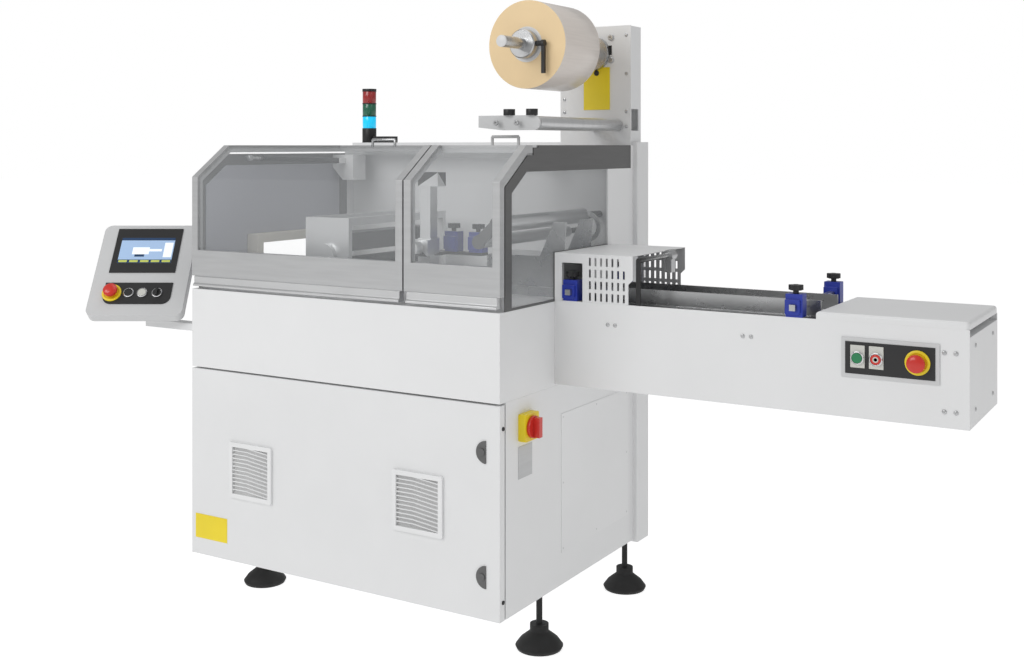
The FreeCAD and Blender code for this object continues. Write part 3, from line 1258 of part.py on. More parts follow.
fill_sheet()
cabinet()
rear()
feet()
door()
main_switch()
guards()
end_walls()
gas_spring()
conveyor()
tunnel_guard()
guide_rails()
photo_eye()
conveyor_controls()
column()
reel()
idlers()
tower()
operator_panel()
inside()
doc.recompute()
check()
write()
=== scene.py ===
# %% [markdown]
# # A horizontal flow wrapper, dressed for its picture
# The machine's frame comes packed from CAD: sheet housings, guards, conveyor and everything that moves.
# This lesson gives those solids their paint, metal and plastic, and makes the small pieces that the solids
# leave out: screws, plates, rings and buttons.
# Every cell makes one group of pieces and prints what it made.

# %% Load the frame
import math

import bmesh
import bpy
from mathutils import Matrix, Vector


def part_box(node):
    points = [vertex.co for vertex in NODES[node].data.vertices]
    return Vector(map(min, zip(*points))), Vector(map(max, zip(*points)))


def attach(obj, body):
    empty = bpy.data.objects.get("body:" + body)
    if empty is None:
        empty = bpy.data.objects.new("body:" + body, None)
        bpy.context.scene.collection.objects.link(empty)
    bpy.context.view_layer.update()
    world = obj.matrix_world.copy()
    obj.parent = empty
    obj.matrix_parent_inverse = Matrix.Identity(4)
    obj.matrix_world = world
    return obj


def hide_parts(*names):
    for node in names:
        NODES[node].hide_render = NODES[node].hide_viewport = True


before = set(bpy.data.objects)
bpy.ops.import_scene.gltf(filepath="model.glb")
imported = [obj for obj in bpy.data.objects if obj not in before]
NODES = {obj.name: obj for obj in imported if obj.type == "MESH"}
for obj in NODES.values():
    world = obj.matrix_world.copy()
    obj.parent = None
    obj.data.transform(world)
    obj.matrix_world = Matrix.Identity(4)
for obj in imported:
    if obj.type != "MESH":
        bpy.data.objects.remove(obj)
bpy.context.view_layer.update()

# %% [markdown]
# ## Machine coordinates
# Sizes on a machine drawing start from a corner of the cabinet, not from the middle of its footprint.
# `at` takes millimetres measured that way: x from the cabinet's right side towards the infeed, y from the
# front face to the rear, z from the floor. It returns metres in the part's own frame.

# %% Coordinates
CAB_LOW, CAB_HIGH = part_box("upper_housing")
MM = 0.001
LENGTH = (CAB_HIGH.x - CAB_LOW.x) / MM
DEPTH = (CAB_HIGH.y - CAB_LOW.y) / MM
LEFT = -LENGTH
BAND = CAB_LOW.z / MM
DECK = CAB_HIGH.z / MM


def at(x, y, z):
    """Machine millimetres to metres in the part's frame."""
    return Vector((CAB_HIGH.x + x * MM, CAB_LOW.y + y * MM, z * MM))


def span(node):
    """Low and high corner of a CAD node, in machine millimetres."""
    low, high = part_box(node)
    shift = Vector((CAB_HIGH.x, CAB_LOW.y, 0))
    return (low - shift) / MM, (high - shift) / MM


TOP = span("rear_wall")[1].z
print("cabinet", round(LENGTH), "x", round(DEPTH), "deck at", round(DECK), "top at", round(TOP))

# %% [markdown]
# ## Materials
# A powder coat is never one flat colour. Its surface is a fine orange peel, its gloss drifts a little from
# place to place, and dust settles in it. Each material below is built the same way: a slow noise moves the
# colour, a second one moves the roughness, and a fine one gives the bump its grain.

# %% Material maker
MATERIALS = {}


def finish(name, colour, rough, metal=0.0, drift=0.03, grain=900.0, bump=0.04, stretch=None,
           coat=0.0, glow=0.0, glow_colour=None, wear_and_edge_highlight=0.2):
    """A principled material with noise in its colour, its roughness and its surface."""
    material = bpy.data.materials.new(name)
    material.use_nodes = True
    tree = material.node_tree
    shader = tree.nodes["Principled BSDF"]
    place = tree.nodes.new("ShaderNodeTexCoord")
    scale = tree.nodes.new("ShaderNodeMapping")
    scale.inputs["Scale"].default_value = stretch or (1, 1, 1)
    tree.links.new(place.outputs["Object"], scale.inputs["Vector"])

    def noise(size, detail):
        item = tree.nodes.new("ShaderNodeTexNoise")
        item.inputs["Scale"].default_value = size
        item.inputs["Detail"].default_value = detail
        tree.links.new(scale.outputs["Vector"], item.inputs["Vector"])
        return item.outputs["Fac"]

    ramp = tree.nodes.new("ShaderNodeValToRGB")
    dark = [max(0.0, part * (1 - drift)) for part in colour]
    light = [min(1.0, part * (1 + drift)) for part in colour]
    ramp.color_ramp.elements[0].position = 0.3
    ramp.color_ramp.elements[0].color = (*dark, 1)
    ramp.color_ramp.elements[1].position = 0.7
    ramp.color_ramp.elements[1].color = (*light, 1)
    tree.links.new(noise(7.0, 5.0), ramp.inputs["Fac"])
    shade = ramp.outputs["Color"]
    # Sharp edges are lightened: partly worn paint, partly a painted highlight along each edge.
    if wear_and_edge_highlight:
        edge = tree.nodes.new("ShaderNodeNewGeometry")
        sharp = tree.nodes.new("ShaderNodeMapRange")
        sharp.inputs["From Min"].default_value = 0.52
        sharp.inputs["From Max"].default_value = 0.62
        sharp.inputs["To Max"].default_value = wear_and_edge_highlight
        tree.links.new(edge.outputs["Pointiness"], sharp.inputs["Value"])
        edge_highlight_mix = tree.nodes.new("ShaderNodeMixRGB")
        edge_highlight_mix.inputs["Color2"].default_value = (*[min(1.0, part * 1.25 + 0.03) for part in colour], 1)
        tree.links.new(sharp.outputs["Result"], edge_highlight_mix.inputs["Fac"])
        tree.links.new(shade, edge_highlight_mix.inputs["Color1"])
        shade = edge_highlight_mix.outputs["Color"]
    tree.links.new(shade, shader.inputs["Base Color"])
    spread = tree.nodes.new("ShaderNodeMapRange")
    spread.inputs["To Min"].default_value = max(0.02, rough * 0.86)
    spread.inputs["To Max"].default_value = min(1.0, rough * 1.14)
    tree.links.new(noise(23.0, 3.0), spread.inputs["Value"])
    tree.links.new(spread.outputs["Result"], shader.inputs["Roughness"])
    relief = tree.nodes.new("ShaderNodeBump")
    relief.inputs["Strength"].default_value = bump
    relief.inputs["Distance"].default_value = 0.0005
    tree.links.new(noise(grain, 2.0), relief.inputs["Height"])
    tree.links.new(relief.outputs["Normal"], shader.inputs["Normal"])
    shader.inputs["Metallic"].default_value = metal
    shader.inputs["Coat Weight"].default_value = coat
    if glow:
        shader.inputs["Emission Color"].default_value = (*(glow_colour or colour), 1)
        shader.inputs["Emission Strength"].default_value = glow
    MATERIALS[name] = material
    return material


def see_through(name, colour, alpha, rough=0.05):
    """A thin clear sheet: mostly lets light straight through, and shines at a low angle."""
    material = finish(name, colour, rough, drift=0.02, grain=60.0, bump=0.01)
    material.node_tree.nodes["Principled BSDF"].inputs["Alpha"].default_value = alpha
    return material


# %% [markdown]
# ### The palette
# The housings are a cool white. Their guards are a light grey, the fixed end frames a dark grey. Anodised
# aluminium, bare steel, black moulded plastic, and blue clamps make up nearly all the rest.

# %% Palette
WHITE = finish("white_powder_coat", (0.78, 0.785, 0.79), 0.42, bump=0.05, drift=0.012)
LIGHT_GREY = finish("light_grey_coat", (0.60, 0.605, 0.61), 0.45, bump=0.04, drift=0.02)
RAIL_GREY = finish("guard_rail_coat", (0.58, 0.585, 0.59), 0.4, bump=0.04, drift=0.02)
FRAME_GREY = finish("guard_frame_metal", (0.50, 0.505, 0.51), 0.38, metal=0.45, drift=0.05,
                    stretch=(1, 1, 14), grain=260)
DARK_GREY = finish("end_frame_metal", (0.135, 0.135, 0.135), 0.42, metal=0.35, drift=0.05,
                   stretch=(1, 1, 10), grain=300)
BLUE_GREY = finish("tinted_end_sheet", (0.36, 0.365, 0.41), 0.35, drift=0.02)
STEEL = finish("brushed_steel", (0.52, 0.525, 0.53), 0.28, metal=0.95, drift=0.06,
               stretch=(1, 18, 1), grain=240, bump=0.06)
ALUMINIUM = finish("anodised_aluminium", (0.66, 0.665, 0.67), 0.34, metal=0.85, drift=0.04,
                   stretch=(1, 9, 1), grain=320)
CHROME = finish("polished_steel", (0.72, 0.72, 0.73), 0.12, metal=1.0, drift=0.02)
BLACK = finish("black_moulded_plastic", (0.012, 0.012, 0.013), 0.42, drift=0.15, bump=0.1)
RUBBER = finish("black_rubber", (0.010, 0.010, 0.010), 0.6, drift=0.2, bump=0.18, grain=700)
BLACK_METAL = finish("black_satin_metal", (0.018, 0.018, 0.019), 0.35, metal=0.3, drift=0.1)
DARK_BED = finish("dark_conveyor_bed", (0.05, 0.05, 0.052), 0.35, metal=0.4, drift=0.2,
                  stretch=(1, 14, 1), grain=200)
BLUE = finish("blue_clamp_plastic", (0.015, 0.035, 0.34), 0.35, drift=0.1, bump=0.05)
YELLOW = finish("yellow_plastic", (0.86, 0.66, 0.012), 0.4, drift=0.05)
RED = finish("red_plastic", (0.62, 0.025, 0.015), 0.3, drift=0.08, coat=0.3)
GREEN = finish("green_plastic", (0.01, 0.22, 0.08), 0.32, drift=0.08, coat=0.2)
BEIGE = finish("beige_coat", (0.62, 0.59, 0.52), 0.5, drift=0.04)
FILM_END = finish("film_roll_end", (0.84, 0.63, 0.36), 0.45, drift=0.04, stretch=(1, 1, 1))
FILM_SIDE = finish("film_roll_side", (0.74, 0.68, 0.63), 0.22, drift=0.03, stretch=(1, 1, 30))
PANE = see_through("clear_polycarbonate", (0.82, 0.85, 0.87), 0.12)
print(len(MATERIALS), "materials")

# %% [markdown]
# ## Finishes for the CAD nodes
# A solid from CAD has knife edges, and real sheet metal has none. A weld joins the mesh's faces, and a
# small bevel rounds every edge, so that it catches a line of light.

# %% CAD finishes
FINISHES = {
    WHITE: ["cabinet_floor", "cabinet_left_wall", "cabinet_right_wall", "door_frame",
            "upper_housing", "rear_wall", "rear_cover", "cabinet_door", "conveyor_beam",
            "end_lid", "tunnel_guard", "unwinder_column", "spring_bracket", "panel_arm",
            "door_vents"],
    LIGHT_GREY: ["top_cover", "control_plate", "idler_link", "panel_housing"],
    FRAME_GREY: ["guard_left_frame", "guard_right_frame"],
    DARK_GREY: ["right_end_frame", "left_end_frame", "door_locks"],
    BLUE_GREY: ["left_end_pane"],
    BEIGE: ["exit_hood"],
    ALUMINIUM: ["guard_left_sill", "guard_right_sill", "idler_rollers", "jaw_frame",
                "height_post", "film_rollers"],
    STEEL: ["guide_rails", "spindle_flange", "product_table", "film_former", "infeed_chain",
            "photo_eye", "spindle", "guard_left_grip", "spring_rod"],
    DARK_BED: ["conveyor_bed"],
    BLACK: ["clamp_knobs", "tower_base", "clamp_lever", "panel_plates"],
    RUBBER: ["levelling_feet"],
    BLACK_METAL: ["jaw_tools", "spring_tube"],
    BLUE: ["rail_clamps", "tower_lenses"],
    YELLOW: ["switch_base"],
    RED: ["switch_grip", "panel_controls", "control_buttons"],
    FILM_END: ["film_reel"],
    PANE: ["guard_left_pane", "guard_right_pane", "right_end_pane"],
}


def dress(node, material, bevel=0.8):
    """Gives a CAD node its finish and softens its edges."""
    item = NODES[node]
    item.data.materials.clear()
    item.data.materials.append(material)
    weld = item.modifiers.new("weld", "WELD")
    weld.merge_threshold = 0.00002
    soft = item.modifiers.new("soft edges", "BEVEL")
    soft.width = bevel * MM
    soft.segments = 2
    soft.limit_method = "ANGLE"
    soft.angle_limit = math.radians(40)
    soft.harden_normals = True


for coat_of, names in FINISHES.items():
    for node_name in names:
        dress(node_name, coat_of)
left_over = sorted(set(NODES) - {name for names in FINISHES.values() for name in names})
print("undressed:", left_over)

# %% [markdown]
# ## Several finishes on one solid
# One CAD node can hold pieces of several finishes: a red button and the yellow collar that it stands in.
# The mesh keeps its points, and each face takes a material by where its middle lies. That is quicker than
# cutting the solid apart, and it follows the solid when a size changes.

# %% Face by face


def paint(node, *finishes):
    """Adds finishes to a node. Each is (material, test), and the test gets a face's middle and normal."""
    item = NODES[node]
    shift = at(0, 0, 0)
    for material, test in finishes:
        item.data.materials.append(material)
        index = len(item.data.materials) - 1
        for face in item.data.polygons:
            middle = (face.center - shift) / MM
            if test(middle, face.normal):
                face.material_index = index


LENS_BLUE = finish("blue_lens_lit", (0.0, 0.50, 0.80), 0.2, drift=0.05, glow=0.45,
                   glow_colour=(0.0, 0.6, 1.0), coat=0.4)
LENS_GREEN = finish("green_lens", (0.008, 0.13, 0.07), 0.18, drift=0.1, coat=0.5)
LENS_RED = finish("red_lens", (0.36, 0.018, 0.018), 0.18, drift=0.1, coat=0.5)
IVORY = finish("ivory_legend", (0.62, 0.62, 0.58), 0.4, drift=0.03)
SILVER_WHITE = finish("white_core_ring", (0.70, 0.70, 0.70), 0.35, drift=0.03)

low, high = span("tower_lenses")
third = (high.z - low.z) / 3
paint("tower_lenses", (LENS_BLUE, lambda p, n: p.z < low.z + third),
      (LENS_GREEN, lambda p, n: low.z + third < p.z < high.z - third),
      (LENS_RED, lambda p, n: p.z > high.z - third))
reel_low, reel_high = span("film_reel")
paint("film_reel", (FILM_SIDE, lambda p, n: abs(n.y) < 0.5))
# The two film sensors on the idler link are the only things above its plate.
SENSOR_FOOT = 1351
paint("idler_link", (BLACK, lambda p, n: p.z > SENSOR_FOOT))
paint("film_rollers", (DARK_GREY, lambda p, n: p.y < 170 or p.y > 640))
paint("height_post", (BLACK, lambda p, n: p.z > 1185), (BLACK_METAL, lambda p, n: 985 < p.z < 1000))
paint("jaw_frame", (WHITE, lambda p, n: p.y > 560))
paint("photo_eye", (BLACK, lambda p, n: p.y < 330 or p.z < 930))
paint("rail_clamps", (STEEL, lambda p, n: abs(n.z) > 0.95 and p.z > 1000))
print("lens height", round(third), "mm")

# %% [markdown]
# ## Making small pieces
# Screws, plates and rings are small, but they give a machine its scale. Two makers are enough: a `slab`
# with soft edges for plates, and a `turned` piece spun from a profile for anything round. Each returns an
# object that rides on its CAD body.

# %% Makers
FACING = {"-y": Matrix.Rotation(math.radians(90), 4, "X"),
          "+x": Matrix.Rotation(math.radians(90), 4, "Y"),
          "+z": Matrix.Identity(4)}
MADE = []


def keep(name, mesh, material, body):
    """Turns a mesh into a named piece of a body."""
    item = bpy.data.objects.new(name, mesh)
    bpy.context.scene.collection.objects.link(item)
    item.data.materials.append(material)
    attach(item, body)
    MADE.append(name)
    return item


def soften(item, width, segments=3):
    """A small round on every sharp edge."""
    soft = item.modifiers.new("soft edges", "BEVEL")
    soft.width = width * MM
    soft.segments = segments
    soft.limit_method = "ANGLE"
    soft.angle_limit = math.radians(35)
    soft.harden_normals = True


def slab(name, low, high, material, body="cabinet", edge=0.8):
    """A plate between two corners, in machine millimetres."""
    shape = bmesh.new()
    bmesh.ops.create_cube(shape, size=1)
    size = Vector(high) - Vector(low)
    middle = at(*((Vector(low) + Vector(high)) / 2))
    for point in shape.verts:
        point.co = Vector(point.co[i] * size[i] * MM for i in range(3)) + middle
    mesh = bpy.data.meshes.new(name)
    shape.to_mesh(mesh)
    item = keep(name, mesh, material, body)
    soften(item, edge)
    return item


def spun(shape, profile, place, facing, around=24):
    """Adds a turned piece to a mesh: profile is (radius, height) in mm, spun about the facing axis."""
    turn = Matrix.Translation(at(*place)) @ FACING[facing]
    rings = []
    for radius, height in profile:
        ring = []
        for step in range(around):
            angle = math.tau * step / around
            ring.append(shape.verts.new(turn @ Vector(
                (radius * MM * math.cos(angle), radius * MM * math.sin(angle), height * MM))))
        rings.append(ring)
    for below, above in zip(rings, rings[1:]):
        for step in range(around):
            after = (step + 1) % around
            shape.faces.new((below[step], below[after], above[after], above[step]))
    shape.faces.new(rings[-1])


def turned(name, profile, places, facing, material, body="cabinet", around=24):
    """One object with the same turned piece at every place."""
    shape = bmesh.new()
    for place in places:
        spun(shape, profile, place, facing, around)
    bmesh.ops.recalc_face_normals(shape, faces=shape.faces)
    mesh = bpy.data.meshes.new(name)
    shape.to_mesh(mesh)
    item = keep(name, mesh, material, body)
    for face in mesh.polygons:
        face.use_smooth = True
    soften(item, 0.25, 2)
    return item


# %% [markdown]
# ## Screws
# Sheet metal is held by dome-headed socket screws. Each head is one turned profile: a low dome with a
# recessed socket in its middle.

# %% Screws
SOCKET = [(1.6, 1.6), (1.6, 2.6), (3.4, 2.6), (4.6, 1.8), (5.2, 0.6), (5.2, 0.0)][::-1]
BEAM_Y = span("conveyor_beam")[0].y
BEAM_TOP = span("conveyor_beam")[1].z
BEAM_END = span("conveyor_beam")[1].x
beam_spots = [(x, BEAM_Y, BEAM_TOP - down) for x, down in
              ((150, 52), (170, 52), (500, 52), (520, 52), (952, 52), (976, 52), (952, 178), (976, 178))]
turned("beam_front_screws", SOCKET, beam_spots, "-y", STEEL)
end_spots = [(BEAM_END, BEAM_Y + across, BEAM_TOP - down) for across, down in
             ((60, 40), (262, 40), (60, 178), (262, 178))]
turned("beam_end_screws", SOCKET, end_spots, "+x", STEEL)
column_low, column_high = span("unwinder_column")
column_spots = [(column_low.x + 14, column_low.y, z) for z in (1330, 1372, 1410, 1455)]
column_spots += [(column_high.x - 14, column_low.y, z) for z in (1330, 1372, 1480, 1590)]
turned("column_screws", SOCKET, column_spots, "-y", STEEL)
turned("column_big_bolts", [(9, 0), (9, 5), (7.5, 6.5), (3.5, 6.5), (3.5, 3)],
       [(column_high.x - 62, column_low.y, 1585), (column_high.x - 62, column_low.y, 1520)], "-y", STEEL)
side_spots = [(0, y, z) for y in (309, 495, 680) for z in (243, 579)]
side_spots += [(0, 309, 411), (0, 680, 411)]
turned("side_panel_rivets", [(3.4, 0), (3.4, 0.8), (2.0, 1.8), (0.6, 2.0)], side_spots, "+x", ALUMINIUM)
turned("door_edge_buffers", [(5, 0), (5, 2), (3.5, 3)], [(0, 14, 606), (0, 14, 196)], "+x", BLACK)
link_low, link_high = span("idler_link")
turned("idler_link_bolts", [(7, 0), (7, 5), (5.8, 6), (3, 6), (3, 2.5)],
       [(link_low.x + 62, link_low.y, 1333), (link_high.x - 60, link_low.y, 1333)], "-y", STEEL)

# %% [markdown]
# ## Plates, panels and the tag
# The side inspection panel stands a millimetre proud of the cabinet's side, so its edge throws a thin line
# of shade. The sign plates are there but bare.

# %% Plates
slab("side_inspection_panel", (0, 299, 233), (1.2, 690, 589), WHITE)
slab("bare_switch_plate", (0, 84, 470), (1.0, 150, 548), FRAME_GREY)
slab("bare_door_plate", (-985, -1.0, 196), (-868, 0, 262), YELLOW, body="door", edge=0.4)
# A thin black plate on the column's face: its black is painted shade for the inside of a slot.
slab("column_slot_shade", (column_high.x - 70, column_low.y - 0.6, 1535), (column_high.x - 60, column_low.y, 1562),
     BLACK, edge=0.2)


def tag(name, left, right, low, high, corner, front, thick, material):
    """A hanging plate with one corner cut."""
    outline = [(left, low), (right, low), (right, high), (left + corner, high), (left, high - corner)]
    shape = bmesh.new()
    rim = [shape.verts.new(at(x, front, z)) for x, z in outline]
    face = shape.faces.new(rim)
    solid = bmesh.ops.extrude_face_region(shape, geom=[face])
    for part in solid["geom"]:
        if isinstance(part, bmesh.types.BMVert):
            part.co.y -= thick * MM
    bmesh.ops.recalc_face_normals(shape, faces=shape.faces)
    mesh = bpy.data.meshes.new(name)
    shape.to_mesh(mesh)
    soften(keep(name, mesh, material, "cabinet"), 0.3)


tag("bare_yellow_tag", -150, -66, 1378, 1500, 18, column_low.y - 0.5, 1.5, YELLOW)
turned("tag_ring", [(8, 0), (8, 1.5), (4.5, 1.5), (4.5, 0.4)], [(-108, column_low.y - 2, 1484)], "-y", BLACK)

# %% [markdown]
# ## Reel and hub
# The roll winds on a card core, held by a chuck. The ring between them reads white, the chuck's nose steel.

# %% Reel
REEL_X, REEL_Z = (reel_low.x + reel_high.x) / 2, (reel_low.z + reel_high.z) / 2
turned("reel_core_ring", [(34, 0), (36, 1.2), (46, 1.2), (47, 0)], [(REEL_X, reel_low.y, REEL_Z)], "-y",
       SILVER_WHITE, "reel", 48)
spindle_low, spindle_high = span("spindle")
turned("spindle_end_cap", [(15.2, 0), (15.2, 1), (13, 2.2), (0.5, 2.2)],
       [(REEL_X, spindle_low.y, REEL_Z)], "-y", SILVER_WHITE, "reel", 32)

# %% [markdown]
# ## Vents
# Behind the bowed slats of each grille sits a pale grey sheet. Its grey is painted shade: from the front it
# turns the gaps between the slats from black to a soft grey, like the shade that falls between slats.

# %% Filter mats
# The sheet's grey is painted shade for the gaps between the slats.
GAP_SHADE_GREY = finish("vent_gap_painted_shade", (0.55, 0.55, 0.55), 0.9, drift=0.12, grain=500, bump=0.5)
VENT_LOW, VENT_HIGH = span("door_vents")
VENT_SIDE = VENT_HIGH.z - VENT_LOW.z
for number, start in enumerate((VENT_LOW.x, VENT_HIGH.x - VENT_SIDE)):
    inset = 12
    slab(f"vent_gap_shade_sheet_{number + 1}", (start + inset, 0.4, VENT_LOW.z + inset),
         (start + VENT_SIDE - inset, 1.4, VENT_HIGH.z - inset), GAP_SHADE_GREY, body="door", edge=0.1)

# %% [markdown]
# ## Push buttons
# A push button is three turned rings: a bezel, the cap inside it, and for an emergency stop a mushroom head
# on a yellow collar. The same profiles serve the conveyor's station and the operator panel.

# %% Buttons on the conveyor
CAP = [(11.5, 0), (11.5, 5), (10.6, 6), (0.5, 6)]
RING = [(15, 0), (15, 4), (13.6, 5.5), (12.2, 5.5), (12.0, 1)]
HEAD = [(12, 0), (12, 8), (19, 12), (20, 16), (19.4, 21), (15, 24.5), (8, 26), (0.5, 26.3)]
COLLAR = [(27, 0), (27, 2.5), (25.5, 3.5), (21, 3.5), (20, 1)]
PLATE_LOW, PLATE_HIGH = span("control_plate")
slab("station_inset", (PLATE_LOW.x + 9, PLATE_LOW.y - 1.2, PLATE_LOW.z + 9),
     (PLATE_HIGH.x - 9, PLATE_LOW.y, PLATE_HIGH.z - 9), BLACK, edge=0.4)
FACE_Y = PLATE_LOW.y - 1.2
BUTTON_LOW, BUTTON_HIGH = span("control_buttons")
STATION_Z = (BUTTON_LOW.z + BUTTON_HIGH.z) / 2
START_X, HALT_X, STOP_X = BUTTON_LOW.x + 15, BUTTON_LOW.x + 56, BUTTON_HIGH.x - 27
for name, x in (("start", START_X), ("halt", HALT_X)):
    slab(f"{name}_legend_holder", (x - 16, FACE_Y - 2.5, STATION_Z - 22), (x + 16, FACE_Y, STATION_Z + 28),
         IVORY, edge=1.2)
turned("button_bezels", RING, [(START_X, FACE_Y - 2.5, STATION_Z), (HALT_X, FACE_Y - 2.5, STATION_Z)],
       "-y", CHROME)
turned("start_button", CAP, [(START_X, FACE_Y - 2.5, STATION_Z)], "-y", GREEN)
turned("halt_button", CAP, [(HALT_X, FACE_Y - 2.5, STATION_Z)], "-y", RED)
turned("halt_button_mark", [(6.5, 0), (6.5, 6.2), (4, 6.3), (4, 6)], [(HALT_X, FACE_Y - 2.5, STATION_Z)],
       "-y", IVORY)
turned("stop_collar", COLLAR, [(STOP_X, FACE_Y, STATION_Z)], "-y", YELLOW, around=40)
stop_head = turned("stop_head", HEAD, [(STOP_X, FACE_Y, STATION_Z)], "-y", RED, around=40)
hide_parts("control_buttons")

# %% [markdown]
# ## Operator panel
# The panel leans back and turns towards the operator. Its pieces are made flat, in the panel's own
# coordinates, and one matrix seats them: x across the face, y up it, z out of it.

# %% Panel pieces
PANEL_PLACE = at(LEFT - 222, 41, DECK + 91)
PANEL_TURN = 31
PANEL_TILT = 38.5
PANEL_SPIN = (Matrix.Rotation(math.radians(PANEL_TURN), 4, "Z")
              @ Matrix.Rotation(math.radians(90 - PANEL_TILT), 4, "X"))
PANEL = Matrix.Translation(PANEL_PLACE) @ PANEL_SPIN


def on_panel(item):
    """Seats a piece that was made flat on the panel's face, and lets it swivel with the panel."""
    item.data.transform(PANEL @ Matrix.Translation(-at(0, 0, 0)))
    return item


def controls_row():
    """Middles of the controls along the panel, found from the gaps between them."""
    back = PANEL.inverted()
    points = sorted(tuple(back @ corner.co / MM) for corner in NODES["panel_controls"].data.vertices)
    groups = [[points[0]]]
    for point in points[1:]:
        if point[0] - groups[-1][-1][0] > 1.5:
            groups.append([])
        groups[-1].append(point)
    return [((group[0][0] + group[-1][0]) / 2,
             (min(p[1] for p in group) + max(p[1] for p in group)) / 2) for group in groups]


ROW = controls_row()
print("controls at", [(round(x), round(y)) for x, y in ROW])
FACE_UP = 3.0
seat = [(x, y, FACE_UP) for x, y in ROW]
on_panel(turned("panel_stop_collar", COLLAR, seat[:1], "+z", YELLOW, "operator_panel", 40))
panel_head = on_panel(turned("panel_stop_head", HEAD, seat[:1], "+z", RED, "operator_panel", 40))
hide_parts("panel_controls")
on_panel(turned("panel_button_bezels", RING, seat[1:], "+z", CHROME, "operator_panel"))
on_panel(turned("panel_dark_button", CAP, seat[1:2], "+z", BLACK, "operator_panel"))
on_panel(turned("panel_white_button", CAP, seat[2:3], "+z", IVORY, "operator_panel"))
on_panel(turned("panel_selector_base", CAP, seat[3:], "+z", BLACK, "operator_panel"))
for x, y, z in seat[3:]:
    on_panel(slab("panel_selector_grip", (x - 3.5, y - 12, z + 5), (x + 3.5, y + 12, z + 14), BLACK,
                  "operator_panel", 1.5))

# %% [markdown]
# ### The screen
# A touch screen sits a little below its bezel. Its picture is a few flat blocks of light: a header, a
# drawing of the machine, a table and a row of keys, with no words.

# %% Screen
SKY = finish("screen_field", (0.30, 0.42, 0.60), 0.2, glow=0.35, glow_colour=(0.38, 0.52, 0.75))
PALE = finish("screen_pale", (0.7, 0.75, 0.8), 0.2, glow=0.5, glow_colour=(0.8, 0.85, 0.9))
DEEP = finish("screen_deep", (0.02, 0.05, 0.12), 0.2, glow=0.1, glow_colour=(0.02, 0.06, 0.16))
LIME = finish("screen_key", (0.45, 0.5, 0.1), 0.2, glow=0.3, glow_colour=(0.5, 0.55, 0.15))


def block(name, left, low, right, high, rise, material):
    """A flat block of the screen's picture."""
    on_panel(slab(name, (left, low, rise), (right, high, rise + 0.25), material, "operator_panel", 0.05))


block("screen_glass", -77, -43, 77, 43, 3.05, SKY)
block("screen_header", -77, 34, 77, 43, 3.3, DEEP)
block("screen_footer", -77, -43, 77, -32, 3.3, DEEP)
block("screen_drawing_body", -40, -14, 8, 10, 3.3, PALE)
block("screen_drawing_belt", 8, -4, 44, 4, 3.3, PALE)
block("screen_drawing_foot", -32, -22, -4, -14, 3.3, DEEP)
block("screen_table", 50, -24, 74, 26, 3.3, PALE)
for key in range(5):
    block(f"screen_key_{key + 1}", -74 + 31 * key, -41, -50 + 31 * key, -34, 3.55, LIME)

# %% [markdown]
# ## Conveyor bed
# Bright wear strips run the length of the dark bed, each side of the lug chain. Products slide on them.

# %% Wear strips
BED_LOW, BED_HIGH = span("conveyor_bed")
for number, across in enumerate((34, 84, 118, 186, 218, 262)):
    slab(f"wear_strip_{number + 1}", (BED_LOW.x + 2, BED_LOW.y + across, BED_HIGH.z),
         (BED_HIGH.x - 1, BED_LOW.y + across + 5, BED_HIGH.z + 5), STEEL, edge=0.8)

# %% [markdown]
# ## Floor, light and camera
# A white room: a pale floor, a large soft light over the operator's side, and a weaker one from the
# infeed's side, so that the machine's right-hand faces read a tone darker than its front.

# %% Stage
scene = bpy.context.scene
scene.view_settings.view_transform = "Standard"
FLOOR_GLOW = 0.55
FLOOR_SEEN = 0.80


def floor():
    """A pale floor that fades into the room."""
    mesh = bpy.data.meshes.new("floor")
    reach = 40.0
    mesh.from_pydata([(-reach, -reach, 0), (reach, -reach, 0), (reach, reach, 0),
                      (-reach, reach, 0)], [], [(0, 1, 2, 3)])
    item = bpy.data.objects.new("floor", mesh)
    scene.collection.objects.link(item)
    material = bpy.data.materials.new("floor_paint")
    material.use_nodes = True
    shader = material.node_tree.nodes["Principled BSDF"]
    shader.inputs["Base Color"].default_value = (0.5, 0.5, 0.5, 1)
    shader.inputs["Roughness"].default_value = 0.8
    shader.inputs["Emission Color"].default_value = (1, 1, 1, 1)
    seen = material.node_tree.nodes.new("ShaderNodeLightPath")
    lift = material.node_tree.nodes.new("ShaderNodeMapRange")
    lift.inputs["To Min"].default_value = FLOOR_GLOW
    lift.inputs["To Max"].default_value = FLOOR_SEEN
    material.node_tree.links.new(seen.outputs["Is Camera Ray"], lift.inputs["Value"])
    material.node_tree.links.new(lift.outputs["Result"], shader.inputs["Emission Strength"])
    item.data.materials.append(material)


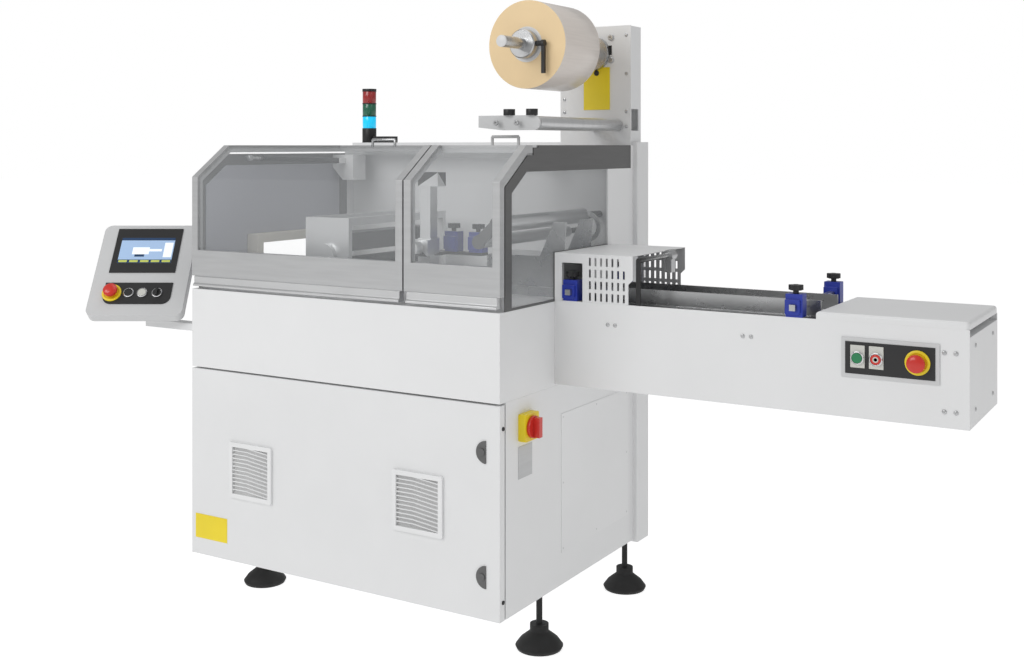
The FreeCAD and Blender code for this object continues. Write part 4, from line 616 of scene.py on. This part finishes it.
def area_light(name, place, target, size, power, colour=(1, 1, 1)):
    """A soft light that looks at a point."""
    data = bpy.data.lights.new(name, "AREA")
    data.shape = "RECTANGLE"
    data.size, data.size_y = size
    data.energy = power
    data.color = colour
    item = bpy.data.objects.new(name, data)
    item.location = place
    item.rotation_euler = (Vector(target) - Vector(place)).to_track_quat("-Z", "Y").to_euler()
    scene.collection.objects.link(item)


floor()
world = bpy.data.worlds.new("white_room")
scene.world = world
world.use_nodes = True
tree = world.node_tree
sky = tree.nodes["Background"]
sky.inputs["Color"].default_value = (1, 1, 1, 1)
sky.inputs["Strength"].default_value = 0.40
plain = tree.nodes.new("ShaderNodeBackground")
plain.inputs["Color"].default_value = (1, 1, 1, 1)
plain.inputs["Strength"].default_value = 1.0
ray = tree.nodes.new("ShaderNodeLightPath")
choice = tree.nodes.new("ShaderNodeMixShader")
tree.links.new(ray.outputs["Is Camera Ray"], choice.inputs[0])
tree.links.new(sky.outputs[0], choice.inputs[1])
tree.links.new(plain.outputs[0], choice.inputs[2])
tree.links.new(choice.outputs[0], tree.nodes["World Output"].inputs["Surface"])
area_light("front_light", (-1.6, -4.2, 3.4), (-0.2, 0, 0.9), (3.2, 2.4), 92)
area_light("side_light", (4.2, -1.2, 2.6), (0.2, 0, 0.9), (2.4, 2.4), 11)
area_light("top_light", (0.2, 0.4, 4.4), (0, 0, 0.8), (3.5, 3.0), 34)

CAMERA_PLACE = (1522.7, -2473.8, 1273.8)
CAMERA_TURN = 31.05
LENS_MM = 43.46
SENSOR_MM = 36
FRAME_SHIFT = -0.1787
eye = bpy.data.cameras.new("camera")
eye.lens = LENS_MM
eye.sensor_width = SENSOR_MM
eye.shift_y = FRAME_SHIFT
eye.clip_end = 100
camera = bpy.data.objects.new("camera", eye)
camera.location = at(*CAMERA_PLACE)
camera.rotation_euler = (math.radians(90), 0, math.radians(CAMERA_TURN))
scene.collection.objects.link(camera)
scene.camera = camera

# %% Finish
print(len(MADE), "pieces made here")
